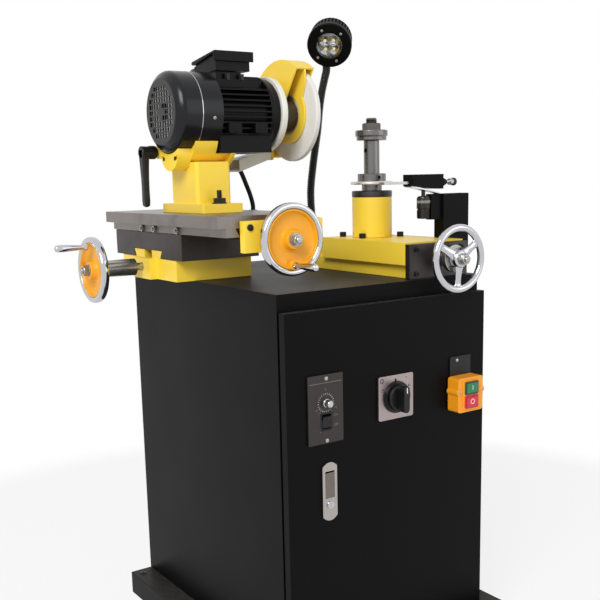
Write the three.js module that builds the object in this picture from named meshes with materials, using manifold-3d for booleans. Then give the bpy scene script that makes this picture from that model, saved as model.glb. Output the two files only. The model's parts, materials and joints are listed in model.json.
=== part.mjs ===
// Saw blade sharpening machine: a cabinet stand with a compound slide under a tilting grinding head,
// an arbor carriage that holds the saw blade flat, a stop finger and a work lamp.
// Millimetres, +Z up, the door faces -Y. The origin is on the floor under the middle of the cabinet.
import * as THREE from 'three';
import { mergeVertices } from 'three/addons/utils/BufferGeometryUtils.js';
import Module from 'manifold-3d';

const wasm = await Module();
wasm.setup();

// Clearances shared by all pieces
const seat = 0.3;
const overrun = 2;
const bevel = 2;

// Base and cabinet
const baseHeight = 38;
const baseSideOverhang = 38;
const baseFrontOverhang = 38;
const baseWall = 4;
const baseLedge = 24;
const cabinetWidth = 364;
const cabinetDepth = 440;
const cabinetHeight = 532;
const sheet = 2;
const frontFlange = 18;
const cableHole = 13;
const wirePlateWidth = 250;
const wirePlateHeight = 300;
const wirePlateBottom = 150;
const wirePlateGap = 12;
const wirePostRadius = 5;
const contactorWidth = 54;
const contactorHeight = 84;
const contactorDepth = 70;

// Door, its hinges and its controls
const doorThickness = 13;
const doorGap = 3;
const doorMargin = 1;
const doorTopDrop = 24;
const hingeRadius = 4;
const hingePinRadius = 2.2;
const hingePinClearance = 0.2;
const hingeOut = 4.3;
const hingeBack = 4;
const hingeLength = 46;
const hingeLeaf = 2;
const hingeLeafWidth = 20;
const hingeEndDistance = 70;
const selectorX = 4;
const selectorZ = 409;
const selectorSize = 64;
const selectorPlate = 4;
const selectorBossRadius = 23;
const selectorBoss = 5;
const selectorBody = 44;
const selectorBodyDepth = 46;
const selectorShaft = 5;
const selectorHole = 16;
const knobBaseRadius = 19;
const knobBase = 5;
const knobLength = 42;
const knobWidth = 13;
const knobDepth = 19;
const speedX = -119;
const speedZ = 410.5;
const speedWidth = 58.5;
const speedHeight = 96;
const speedPlate = 3;
const speedBoxDepth = 40;
const speedBoxInset = 8;
const dialUp = 9;
const dialRadius = 6;
const dialDepth = 12;
const dialShaft = 3;
const rockerDown = 17;
const rockerWidth = 14;
const rockerHeight = 20;
const rockerDepth = 9;
const rockerProud = 3;
const rockerTilt = 7;
const switchX = 131;
const switchZ = 397;
const switchWidth = 50;
const switchHeight = 52;
const switchDepth = 24;
const switchWall = 2.5;
const backPlateWidth = 42;
const backPlateHeight = 76;
const backPlateUp = 17;
const backPlate = 2;
const buttonWidth = 22;
const buttonHeight = 15;
const buttonPitch = 21;
const buttonDepth = 14;
const buttonProud = 3;
const lockX = -113.8;
const lockZ = 292.7;
const lockWidth = 24.5;
const lockLength = 84;
const lockDepth = 16;
const lockProud = 2.5;
const paddleWidth = 15;
const paddleLength = 36;
const paddleUp = 9;
const paddleThickness = 3;
const paddleRecess = 9;
const barrelRadius = 5.5;
const barrelDown = 19;

// Cross slide under the grinding head
const slideX = -147;
const slideY = 107;
const slideBaseWidth = 130;
const slideBaseDepth = 190;
const slideBaseHeight = 32;
const dovetailHeight = 12;
const dovetailNeck = 84;
const dovetailFlare = 8;
const wayGap = 0.4;
const screwChannel = 26;
const channelFloor = 8;
const endPlateWidth = 60;
const endPlateThickness = 12;
const screwRadius = 6;
const nutClearance = 0.4;
const nutWidth = 22;
const nutLength = 40;
const saddleWidth = 132;
const saddleDepth = 234;
const saddleHeight = 39;
const tableWidth = 158;
const tableDepth = 373;
const tableHeight = 17;
const tableY = 45.5;
const tableRailInset = 13;
const crossScrewX = -127;
const crossScrewZ = 637;
const longScrewZ = 589;
const bracketWidth = 130;
const bracketHeight = 43;
const bracketThickness = 11;
const bracketTopDrop = 7;

// Handwheels
const wheelRadius = 50;
const rimRadius = 6;
const rimInset = 6;
const hubRadius = 13;
const hubLength = 14;
const webThickness = 4;
const webDish = 2;
const frontWheelY = -170;
const sideWheelX = -303;
const stubRadius = 5;
const stubEnd = 4;
const collarRadius = 20;
const collarLength = 9;
const wheelShoulder = 0.3;
const wheelNutRadius = 8;
const wheelNutLength = 8;
const gripRadius = 5.5;
const gripLength = 50;
const gripPinRadius = 3;
const gripPinClearance = 0.2;
const gripInset = 9;

// Grinding column and cradle
const columnX = -152;
const columnY = 36;
const columnWidth = 58;
const columnDepth = 82;
const columnTop = 745;
const columnChamfer = 4;
const columnFlangeWidth = 67;
const columnFlangeDepth = 132;
const columnFlangeHeight = 13;
const columnStudOut = 55;
const columnStudRadius = 4;
const columnStudHeight = 20;
const columnNutRadius = 8.5;
const columnNutHeight = 8;
const tiltY = 35;
const tiltZ = 785;
const cradleRadius = 43;
const earRadius = 53;
const earThickness = 22;
const thinEar = 6;
const earHoleRadius = 3.5;
const earHoleDepth = 5;
const earHoleSpread = 23;
const earHoleDrop = 33;
const leverY = 75;
const leverZ = 761;
const leverBoltRadius = 4;
const leverBoltClearance = 0.25;
const leverHubRadius = 10;
const leverHubLength = 27;
const leverOut = 23;
const leverArm = 81;
const leverTipRadius = 6;
const leverRootRadius = 8;
const leverThickness = 11;

// Motor, wheel and guard. Places along the motor count from the column's middle plane
const motorZ = 817;
const coverFront = -62;
const coverEnd = 10;
const coverRadius = 59;
const coverFaceRadius = 48;
const coverShoulder = 12;
const coverWall = 2;
const grilleHole = 5.4;
const grillePitch = 8.9;
const grilleRadius = 38;
const frameEnd = 98;
const frameCoreRadius = 47;
const finRadius = 55;
const finThickness = 2.4;
const finPitch = 8;
const finCount = 5;
const shieldEnd = 114;
const shieldRadius = 53;
const footWidth = 88;
const footEnd = 100;
const footBottom = 757.3;
const footRise = 26;
const bossWidth = 22;
const bossOut = 57;
const bossHeight = 15;
const bossDrop = 24;
const rotorRadius = 28;
const rotorStart = 22;
const rotorEnd = 84;
const rotorClearance = 1;
const shaftRadius = 7;
const shaftClearance = 0.2;
const fanRadius = 44;
const fanHubRadius = 14;
const fanThickness = 3;
const fanBlades = 6;
const fanBladeWidth = 16;
const fanStart = -44;
const boxStart = 0;
const boxLength = 72;
const boxFrontY = -28;
const boxDepth = 62;
const boxWallHeight = 44;
const boxSlope = 20;
const boxWall = 3;
const boxInset = 5;
const lidLip = 10;
const lidThickness = 5;
const ringEnd = 124;
const ringRadius = 56;
const ringBore = 22;
const hubStart = 124.5;
const hubEnd = 160;
const hubOuterRadius = 28;
const wheelStart = 164.5;
const wheelThickness = 8;
const grindRadius = 72;
const grindHoleRadius = 10;
const grindHoleClearance = 0.2;
const grindRimWidth = 13;
const grindDish = 3;
const clampRadius = 22;
const clampThickness = 4;
const spindleNutRadius = 12;
const spindleNutLength = 9;
const spindleStud = 8;
const hoodStart = 144.6;
const hoodEnd = 178;
const hoodRadius = 83;
const hoodWall = 2.5;
const hoodFrontAngle = 126;
const hoodBackAngle = -52;
const hoodAngleSteps = 6;
const guardRingRadius = 45;
const guardRingHole = 30;
const guardStart = 160.6;
const guardThickness = 3;
const guardArmShares = [[-0.42, 0.2], [-0.57, 0.57], [-0.57, 0.8], [-0.17, 0.972], [-0.12, 0.45]];
const guardPostRadius = 4;
const guardPostShares = [[0.214, 0.857], [0.821, 0.321], [0.679, -0.214]];
const spoutFlange = 2;
const spoutLength = 56;
const spoutWidth = 40;
const spoutMouth = 20;
const spoutHeight = 34;
const spoutWall = 2;
const spoutY = 62;
const spoutX = -4;
const spoutTop = 764;

// Motor cord. Its route is a list of places chosen by hand
const cordRadius = 3.75;
const cordSides = 8;
const cordRoute = [
  [-116, 103.6, 884], [-116, 116, 884], [-114, 127, 878], [-108, 132, 862], [-98, 132, 840], [-86, 130, 818],
  [-73, 127, 796], [-62, 123, 774], [-51, 118, 756], [-42, 114, 742], [-34, 112, 726], [-27, 112, 710],
  [-21, 112, 696], [-17, 112, 684], [-15, 112, 675], [-15, 112, 668.3],
];
const glandRadius = 7;
const glandLength = 14;
const clipWidth = 24;
const clipThickness = 4;
const clipTop = 660;

// Arbor side
const arborX = 108;
const arborY = -51;
const bedWidth = 94;
const bedFront = -197;
const bedLength = 289;
const bedHeight = 20;
const arborDovetailHeight = 18;
const arborDovetailNeck = 64;
const carriageWidth = 114;
const carriageFront = -197;
const carriageLength = 205;
const carriageTop = 623;
const endPlateDepth = 10;
const endPlateTopDrop = 2;
const arborScrewZ = 599;
const arborScrewX = 113;
const arborWheelY = -243;
const arborNutWidth = 20;
const arborNutLength = 40;
const arborChannel = 30;
const arborChannelFloor = 4;
const housingRadius = 30;
const housingHeight = 63;
const bearingBore = 15;
const capRingRadius = 30.5;
const capRingHeight = 10;
const spigotRadius = 14.5;
const spigotDepth = 50;
const collarFlangeRadius = 16;
const collarFlangeHeight = 9;
const thinDiscRadius = 34;
const thinDiscHeight = 5;
const lowerFlangeRadius = 22.5;
const lowerFlangeHeight = 12;
const arborShaftRadius = 11;
const arborShaftHeight = 51;
const crossHoleRadius = 3;
const crossHoleUp = 36;
const upperFlangeRadius = 25.5;
const upperFlangeHeight = 16;
const upperGroove = 2;
const arborNutFlats = 25;
const arborNutHeight = 11;
const arborStudRadius = 9;
const arborStudHeight = 8;
const arborHoleClearance = 0.2;

// Stop finger
const postX = 153;
const postWidth = 53;
const postY = -168;
const postDepth = 21;
const postTop = 690.5;
const postBottom = 592;
const postSlideWidth = 12;
const postSlideBottom = 652;
const thimbleX = 121;
const thimbleY = -158;
const thimbleRadius = 10;
const thimbleHeight = 34;
const thimbleTop = 688;
const thimbleScrew = 3;
const thimbleScrewUp = 14;
const fingerBoxX = 81;
const fingerBoxLength = 71;
const fingerBoxY = -169;
const fingerBoxDepth = 22;
const fingerBoxTop = 720;
const fingerBoxRise = 17;
const fingerBoxDeep = 5;
const stripWidth = 14;
const stripThickness = 1.5;
const stripEndGap = 2;
const noseRadius = 8;
const noseLength = 14;
const fingerZ = 708;
const fingerReach = 40;
const fingerWidth = 10;
const fingerThickness = 4;
const fingerRodRadius = 2.5;
const fingerKnobRadius = 5;
const fingerKnobLength = 5;
const fingerKnobOut = 23;
const fingerClearance = 0.3;

// Lamp
const lampX = 118;
const lampFootRadius = 22;
const lampGap = 3;
const lampY = bedFront + bedLength + lampGap + lampFootRadius;
const lampFootHeight = 14;
const neckRadius = 7;
const neckSides = 10;
const neckRise = 335.4;
const neckShares = [
  [0, 0, 0], [0, 0, 0.016], [-0.015, 0, 0.112], [-0.03, 0, 0.216], [-0.033, 0, 0.335], [-0.018, 0, 0.448],
  [0, 0, 0.547], [0.018, 0, 0.642], [0.03, 0, 0.738], [0.042, 0, 0.827], [0.057, 0.003, 0.899],
  [0.075, 0.009, 0.958],
  [0.0835, 0.018, 1],
];
const lampPivotRadius = 4;
const lampHeadRadius = 35;
const lampHeadDepth = 34;
const lampBackRadius = 24;
const lampLensRadius = 21;
const lampLensDepth = 2.5;
const lampRim = 4;
const lampFins = 3;
const lampFinDepth = 3;
const lampForward = 14;
const lampUp = 37;
const lampEarWidth = 8;
const lampEarThickness = 5;
const lampYaw = -48;
const lampPitch = -12;

// Materials
const paint = (color, roughness, metalness) =>
  new THREE.MeshStandardMaterial({ color, roughness, metalness });
const yellowPaint = paint(0xf0c030, 0.35, 0);
const blackPaint = paint(0x17171a, 0.3, 0);
const blackPlastic = paint(0x141416, 0.45, 0);
const castIron = paint(0x6c6764, 0.5, 0.8);
const darkSteel = paint(0x2b2a29, 0.45, 0.8);
const steel = paint(0x8b8a88, 0.35, 1);
const chrome = paint(0xd8d8da, 0.12, 1);
const satinPlate = paint(0x8c8280, 0.4, 0.9);
const greenPlastic = paint(0x1f9a55, 0.4, 0);
const redPlastic = paint(0xc8242c, 0.4, 0);
const orangePlastic = paint(0xe89a1c, 0.4, 0);
const whiteStone = paint(0xeeeae4, 0.8, 0);
const lightPaint = paint(0xd9d5cc, 0.5, 0);
const clearPlastic = paint(0xdfe6ea, 0.1, 0);

// Merges shared corners and drops the flat triangles at the poles, so that a geometry is one closed mesh
function closed(geometry) {
  const source = geometry.clone();
  source.deleteAttribute('normal');
  source.deleteAttribute('uv');
  const merged = mergeVertices(source, 1e-4);
  const index = merged.index.array;
  const kept = [];
  for (let i = 0; i < index.length; i += 3) {
    const [a, b, c] = [index[i], index[i + 1], index[i + 2]];
    if (a !== b && b !== c && c !== a) kept.push(a, b, c);
  }
  merged.setIndex(kept);
  return merged;
}

function toSolid(geometry) {
  const mesh = closed(geometry);
  const vertProperties = new Float32Array(mesh.attributes.position.array);
  const triVerts = new Uint32Array(mesh.index.array);
  return new wasm.Manifold(new wasm.Mesh({ numProp: 3, vertProperties, triVerts }));
}

function toGeometry(solid) {
  const mesh = solid.getMesh();
  const geometry = new THREE.BufferGeometry();
  geometry.setAttribute('position', new THREE.BufferAttribute(mesh.vertProperties, 3));
  geometry.setIndex(new THREE.BufferAttribute(mesh.triVerts, 1));
  return geometry;
}

const join = (first, ...others) =>
  toGeometry(others.reduce((sum, other) => sum.add(toSolid(other)), toSolid(first)));
const cut = (first, ...others) =>
  toGeometry(others.reduce((sum, other) => sum.subtract(toSolid(other)), toSolid(first)));
const common = (first, second) => toGeometry(toSolid(first).intersect(toSolid(second)));

// A block between two corners
function block(x0, x1, y0, y1, z0, z1) {
  const geometry = new THREE.BoxGeometry(x1 - x0, y1 - y0, z1 - z0);
  return geometry.translate((x0 + x1) / 2, (y0 + y1) / 2, (z0 + z1) / 2);
}

// Turns a geometry built along +Z so that it runs along the named axis
function along(axis, geometry) {
  if (axis === 'x') return geometry.rotateX(Math.PI / 2).rotateZ(Math.PI / 2);
  if (axis === 'y') return geometry.rotateZ(Math.PI).rotateX(-Math.PI / 2);
  return geometry;
}

// A turned piece: its profile is a list of [radius, height] that goes up on the outside
function turned(axis, profile, sides = 24) {
  const points = profile.map(([radius, height]) => new THREE.Vector2(radius, height));
  return along(axis, new THREE.LatheGeometry(points, sides).rotateX(Math.PI / 2));
}

function rod(axis, radius, start, end, sides = 20) {
  return turned(axis, [[0, start], [radius, start], [radius, end], [0, end]], sides);
}

function tube(axis, outer, inner, start, end, sides = 24) {
  const profile = [[inner, start], [outer, start], [outer, end], [inner, end], [inner, start]];
  return turned(axis, profile, sides);
}

// An outline in the plane square to the axis, made solid between two places on the axis
function prism(axis, outline, start, end) {
  const shape = outline instanceof THREE.Shape ? outline : new THREE.Shape(
    outline.map((p) => new THREE.Vector2(...p)),
  );
  const geometry = new THREE.ExtrudeGeometry(
    shape, { depth: end - start, bevelEnabled: false, curveSegments: 6 },
  );
  return along(axis, geometry.translate(0, 0, start));
}

function hexagon(flats) {
  const corner = flats / 2 / Math.cos(Math.PI / 6);
  return Array.from({ length: 6 }, (_, i) => [
    corner * Math.cos((i * Math.PI) / 3),
    corner * Math.sin((i * Math.PI) / 3),
  ]);
}

function pipe(route, radius, sides, steps) {
  const curve = new THREE.CatmullRomCurve3(route.map((p) => new THREE.Vector3(...p)));
  const ring = new THREE.Shape(
    Array.from({ length: sides }, (_, i) => {
      const angle = (i * 2 * Math.PI) / sides;
      return new THREE.Vector2(radius * Math.cos(angle), radius * Math.sin(angle));
    }),
  );
  return new THREE.ExtrudeGeometry(ring, { steps, extrudePath: curve, bevelEnabled: false });
}

const machine = new THREE.Group();

function part(name, geometry, material, place = [0, 0, 0], group = machine) {
  const mesh = new THREE.Mesh(closed(geometry), material);
  mesh.name = name;
  mesh.position.set(...place);
  group.add(mesh);
  return mesh;
}

// Places that several pieces share
const doorFront = -(cabinetDepth + doorGap + doorThickness) / 2;
const doorBack = doorFront + doorThickness;
const cabinetFront = doorBack + doorGap;
const cabinetBack = cabinetFront + cabinetDepth;
const cabinetFloor = baseHeight + seat;
const cabinetTop = baseHeight + cabinetHeight;
const cabinetSide = cabinetWidth / 2;
const doorSide = cabinetSide - doorMargin;
const doorBottom = cabinetFloor + doorMargin;
const doorTop = cabinetTop - doorTopDrop;
const slideFloor = cabinetTop + seat;
const slideTop = slideFloor + slideBaseHeight;
const saddleBottom = slideTop + seat;
const saddleTop = saddleBottom + saddleHeight;
const railBottom = saddleTop + seat;
const tableBottom = saddleTop + dovetailHeight + seat;
const tableTop = tableBottom + tableHeight;
const tableFront = tableY - tableDepth / 2;

function baseAndCabinet() {
  const side = cabinetSide + baseSideOverhang;
  const front = doorFront - baseFrontOverhang;
  const tray = block(-side, side, front, cabinetBack, 0, baseHeight);
  const hollow = block(
    -side + baseWall, side - baseWall, front + baseWall, cabinetBack - baseWall, baseWall,
    baseHeight - baseWall,
  );
  const mouth = block(
    -cabinetSide + baseLedge, cabinetSide - baseLedge, cabinetFront + baseLedge, cabinetBack - baseLedge,
    baseHeight - baseWall - overrun, baseHeight + overrun,
  );
  part('base_plinth', cut(tray, hollow, mouth), blackPaint);

  const shell = block(-cabinetSide, cabinetSide, cabinetFront, cabinetBack, cabinetFloor, cabinetTop);
  const room = block(
    -cabinetSide + sheet, cabinetSide - sheet, cabinetFront + sheet, cabinetBack - sheet,
    cabinetFloor + sheet, cabinetTop - sheet,
  );
  const doorway = block(
    -cabinetSide + frontFlange, cabinetSide - frontFlange, cabinetFront - overrun,
    cabinetFront + sheet + overrun,
    cabinetFloor + frontFlange, doorTop - frontFlange,
  );
  const cable = rod('y', cableHole, cabinetBack - sheet - overrun, cabinetBack + overrun);
  cable.translate(cabinetSide / 2, 0, cabinetFloor + frontFlange + cableHole);
  part('cabinet_shell', cut(shell, room, doorway, cable), blackPaint);

  const plateBack = cabinetBack - sheet - wirePlateGap;
  const half = wirePlateWidth / 2;
  const top = wirePlateBottom + wirePlateHeight;
  const inset = wirePostRadius * 2;
  const posts = [];
  for (const x of [-half + inset, half - inset]) {
    for (const z of [wirePlateBottom + inset, top - inset]) {
      const post = rod('y', wirePostRadius, plateBack - sheet / 2, cabinetBack - sheet - seat, 12);
      posts.push(post.translate(x, 0, z));
    }
  }
  const wirePlate = block(-half, half, plateBack - sheet, plateBack, wirePlateBottom, top);

  const contactorBack = plateBack - sheet / 2;
  const contactorTop = top - wirePlateHeight / 3;
  const body = block(
    -contactorWidth / 2, contactorWidth / 2, contactorBack - contactorDepth, contactorBack,
    contactorTop - contactorHeight, contactorTop,
  );
  const step = contactorHeight / 4;
  const terminals = [contactorTop - step, contactorTop - contactorHeight].map((z) => block(
    -contactorWidth / 2 - overrun, contactorWidth / 2 + overrun, contactorBack - contactorDepth - overrun,
    contactorBack - contactorDepth * 0.6, z === contactorTop - step ? z : z - overrun,
    z === contactorTop - step ? contactorTop + overrun : z + step,
  ));
  part('wiring_panel', join(wirePlate, cut(body, ...terminals), ...posts), steel);
}

const hingeX = cabinetSide + hingeOut;
const hingeY = cabinetFront + hingeBack;

// The fixed half carries the pin, and the door's half drops over it
function hinges() {
  const places = {
    hinge_lower: cabinetFloor + hingeEndDistance, hinge_upper: cabinetTop - hingeEndDistance,
  };
  for (const [name, z] of Object.entries(places)) {
    const half = hingeLength / 2;
    const leafX = cabinetSide + seat;
    const leaf = block(leafX, leafX + hingeLeaf, hingeY, hingeY + hingeLeafWidth, z - half, z);
    const barrel = rod('z', hingeRadius, z - half, z, 20).translate(hingeX, hingeY, 0);
    const pin = rod('z', hingePinRadius, z - overrun, z + half - bevel, 16).translate(hingeX, hingeY, 0);
    const clear = block(
      cabinetSide - hingeRadius, cabinetSide + seat, hingeY - hingeRadius, hingeY + hingeRadius * 2,
      z - half, z + half,
    );
    part(name, cut(join(leaf, barrel, pin), clear), blackPaint);
  }
}

function doorPanel() {
  const panel = block(-doorSide, doorSide, doorFront, doorBack, doorBottom, doorTop);
  const pan = block(
    -doorSide + sheet, doorSide - sheet, doorFront + sheet, doorBack + overrun, doorBottom + sheet,
    doorTop - sheet,
  );
  const through = [doorFront - overrun, doorBack + overrun];
  const selector = rod('y', selectorHole, ...through).translate(selectorX, 0, selectorZ);
  const speed = block(
    speedX - speedWidth / 2 + speedBoxInset, speedX + speedWidth / 2 - speedBoxInset, ...through,
    speedZ - speedHeight / 2 + speedBoxInset, speedZ + speedHeight / 2 - speedBoxInset,
  );
  const starter = block(
    switchX - buttonWidth / 2 - switchWall, switchX + buttonWidth / 2 + switchWall, ...through,
    switchZ - buttonPitch, switchZ + buttonPitch,
  );
  const lock = block(
    lockX - paddleWidth / 2 - sheet, lockX + paddleWidth / 2 + sheet, ...through,
    lockZ - lockLength / 2 + lockWidth / 2, lockZ + lockLength / 2 - lockWidth / 4,
  );
  const ears = [cabinetFloor + hingeEndDistance, cabinetTop - hingeEndDistance].flatMap((z) => {
    const top = z + hingeLength / 2;
    const low = z + seat;
    const leaf = block(
      doorSide - hingeLeaf, hingeX + hingeRadius / 2, doorBack - hingeLeaf, hingeY, low, top,
    );
    const barrel = rod('z', hingeRadius, low, top, 20).translate(hingeX, hingeY, 0);
    return [leaf, barrel];
  });
  const bores = [cabinetFloor + hingeEndDistance, cabinetTop - hingeEndDistance].map((z) =>
    rod(
      'z', hingePinRadius + hingePinClearance, z - overrun, z + hingeLength + overrun, 16,
    ).translate(hingeX, hingeY, 0));
  const wall = block(
    doorSide - hingeLeaf - overrun, cabinetSide + seat, cabinetFront - seat, cabinetBack, doorBottom,
    doorTop,
  );
  part(
    'door', cut(join(cut(panel, pan, selector, speed, starter, lock), ...ears), ...bores, wall), blackPaint,
  );
}

function selectorSwitch() {
  const back = -seat;
  const plate = block(
    -selectorSize / 2, selectorSize / 2, -selectorPlate, back, -selectorSize / 2, selectorSize / 2,
  );
  const boss = rod('y', selectorBossRadius, -selectorPlate - selectorBoss, -selectorPlate / 2);
  const neck = rod('y', selectorHole - seat, back - selectorPlate / 2, doorThickness);
  const body = block(
    -selectorBody / 2, selectorBody / 2, sheet + seat, selectorBodyDepth, -selectorBody / 2,
    selectorBody / 2,
  );
  const bore = rod(
    'y', selectorShaft + seat, -selectorPlate - selectorBoss - overrun, selectorBodyDepth / 2, 24,
  );
  const place = [selectorX, doorFront, selectorZ];
  part('selector_switch', cut(join(plate, boss, neck, body), bore), satinPlate, place);

  const face = -selectorPlate - selectorBoss - seat;
  const base = rod('y', knobBaseRadius, face - knobBase, face);
  const grip = block(
    -knobWidth / 2, knobWidth / 2, face - knobDepth, face - knobBase / 2, -knobLength / 2, knobLength / 2,
  );
  const ends = common(grip, rod('y', knobLength / 2, face - knobDepth - overrun, face, 48));
  const shaft = rod('y', selectorShaft, face - knobBase / 2, selectorBodyDepth / 2 - seat, 20);
  part('selector_knob', join(base, ends, shaft), blackPlastic, place);
}

function speedControl() {
  const half = [speedWidth / 2, speedHeight / 2];
  const plate = block(-half[0], half[0], -speedPlate, -seat, -half[1], half[1]);
  const inset = speedBoxInset + seat;
  const box = block(
    -half[0] + inset, half[0] - inset, -speedPlate / 2, speedBoxDepth, -half[1] + inset, half[1] - inset,
  );
  const room = block(
    -rockerWidth / 2 - seat, rockerWidth / 2 + seat, -speedPlate - overrun, rockerDepth + overrun,
    -rockerDown - rockerHeight / 2 - seat, -rockerDown + rockerHeight / 2 + seat,
  );
  const bore = rod(
    'y', dialShaft + seat, -speedPlate - overrun, speedBoxDepth / 2, 20,
  ).translate(0, 0, dialUp);
  const place = [speedX, doorFront, speedZ];
  part('speed_panel', cut(join(plate, box), room, bore), darkSteel, place);

  const face = -speedPlate - seat;
  const dial = turned('y', [
    [0, face - dialDepth], [dialRadius * 0.8, face - dialDepth], [dialRadius * 0.85, face - dialDepth / 4],
    [dialRadius, face - dialDepth / 4], [dialRadius, face], [dialShaft, face],
    [dialShaft, speedBoxDepth / 2 - seat], [0, speedBoxDepth / 2 - seat],
  ], 24);
  part('speed_knob', dial, chrome, [speedX, doorFront, speedZ + dialUp]);

  const middle = rockerDepth / 2;
  const rocker = prism('x', [
    [middle, -rockerHeight / 2 + bevel], [middle, rockerHeight / 2 - bevel],
    [-speedPlate - rockerProud, rockerHeight / 2 - bevel], [-speedPlate - rockerProud / 2, 0],
    [-speedPlate - rockerProud, -rockerHeight / 2 + bevel],
  ], -rockerWidth / 2, rockerWidth / 2);
  const mesh = part('rocker_switch', rocker, blackPlastic, [speedX, doorFront, speedZ - rockerDown]);
  mesh.rotation.x = THREE.MathUtils.degToRad(rockerTilt);
}

function startStopSwitch() {
  const half = [switchWidth / 2, switchHeight / 2];
  const plateHalf = [backPlateWidth / 2, backPlateHeight / 2];
  const plate = block(
    -plateHalf[0], plateHalf[0], -backPlate, -seat, backPlateUp - plateHalf[1], backPlateUp + plateHalf[1],
  );
  const front = -backPlate - switchDepth;
  const housing = block(-half[0], half[0], front, -seat, -half[1], half[1]);
  const room = block(
    -buttonWidth / 2 - switchWall / 2, buttonWidth / 2 + switchWall / 2,
    front + switchWall + buttonDepth / 2, overrun,
    -buttonPitch, buttonPitch,
  );
  const windows = [buttonPitch / 2, -buttonPitch / 2].map((z) => block(
    -buttonWidth / 2 - seat, buttonWidth / 2 + seat, front - overrun, front + switchDepth,
    z - buttonHeight / 2 - seat, z + buttonHeight / 2 + seat,
  ));
  const place = [switchX, doorFront, switchZ];
  part('switch_housing', cut(join(plate, housing), room, ...windows), orangePlastic, place);
  const names = {
    start_button: [buttonPitch / 2, greenPlastic], stop_button: [-buttonPitch / 2, redPlastic],
  };
  for (const [name, [z, material]] of Object.entries(names)) {
    const start = front - buttonProud;
    const cap = block(
      -buttonWidth / 2, buttonWidth / 2, start, start + buttonDepth, -buttonHeight / 2, buttonHeight / 2,
    );
    part(name, cap, material, [switchX, doorFront, switchZ + z]);
  }
}

function doorLock() {
  const end = lockWidth / 2;
  const straight = lockLength / 2 - end / 2;
  const outline = new THREE.Shape();
  outline.moveTo(-end, -straight);
  outline.quadraticCurveTo(0, -lockLength / 2 - end / 2, end, -straight);
  outline.lineTo(end, straight);
  outline.quadraticCurveTo(0, lockLength / 2 + end / 2, -end, straight);
  const face = prism('y', outline, seat, lockProud);
  face.rotateZ(Math.PI);
  const body = block(
    -paddleWidth / 2 - sheet + seat, paddleWidth / 2 + sheet - seat, -lockProud / 2, lockDepth,
    -lockLength / 2 + lockWidth / 2 + seat, lockLength / 2 - lockWidth / 4 - seat,
  );
  const middle = paddleUp;
  // The paddle's top corner swings up over its pivot as it opens
  const swing = Math.hypot(lockProud + paddleThickness / 2, paddleThickness) - paddleThickness;
  const room = block(
    -paddleWidth / 2 - seat, paddleWidth / 2 + seat, -lockProud - overrun, paddleRecess,
    middle - paddleLength / 2 - seat, middle + paddleLength / 2 + swing + seat,
  );
  const barrel = rod('y', barrelRadius, -lockProud - bevel / 2, 0, 24).translate(0, 0, -barrelDown);
  const place = [lockX, doorFront, lockZ];
  part('lock_case', join(cut(join(face, body), room), barrel), chrome, place);
  const paddle = block(
    -paddleWidth / 2, paddleWidth / 2, -lockProud, -lockProud + paddleThickness,
    -paddleLength, 0,
  );
  const pivot = rod('x', paddleThickness / 2, -paddleWidth / 2, paddleWidth / 2, 12);
  pivot.translate(0, paddleThickness / 2, -paddleThickness);
  part(
    'lock_paddle', join(paddle, pivot), satinPlate, [lockX, doorFront, lockZ + middle + paddleLength / 2],
  );
}

// A dovetail with its narrow side down, square to the axis, at the given height
function dovetail(axis, centre, low, height, extra, start, end, neck = dovetailNeck) {
  const narrow = neck / 2 + extra;
  const wide = narrow + dovetailFlare;
  const sign = axis === 'x' ? 1 : -1;
  const outline = [[-narrow, low], [narrow, low], [wide, low + height], [-wide, low + height]];
  const placed = outline.map(([u, z]) => (sign === 1 ? [centre + u, z] : [-centre + u, z]));
  return prism(axis === 'x' ? 'x' : 'y', placed, start, end);
}

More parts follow.
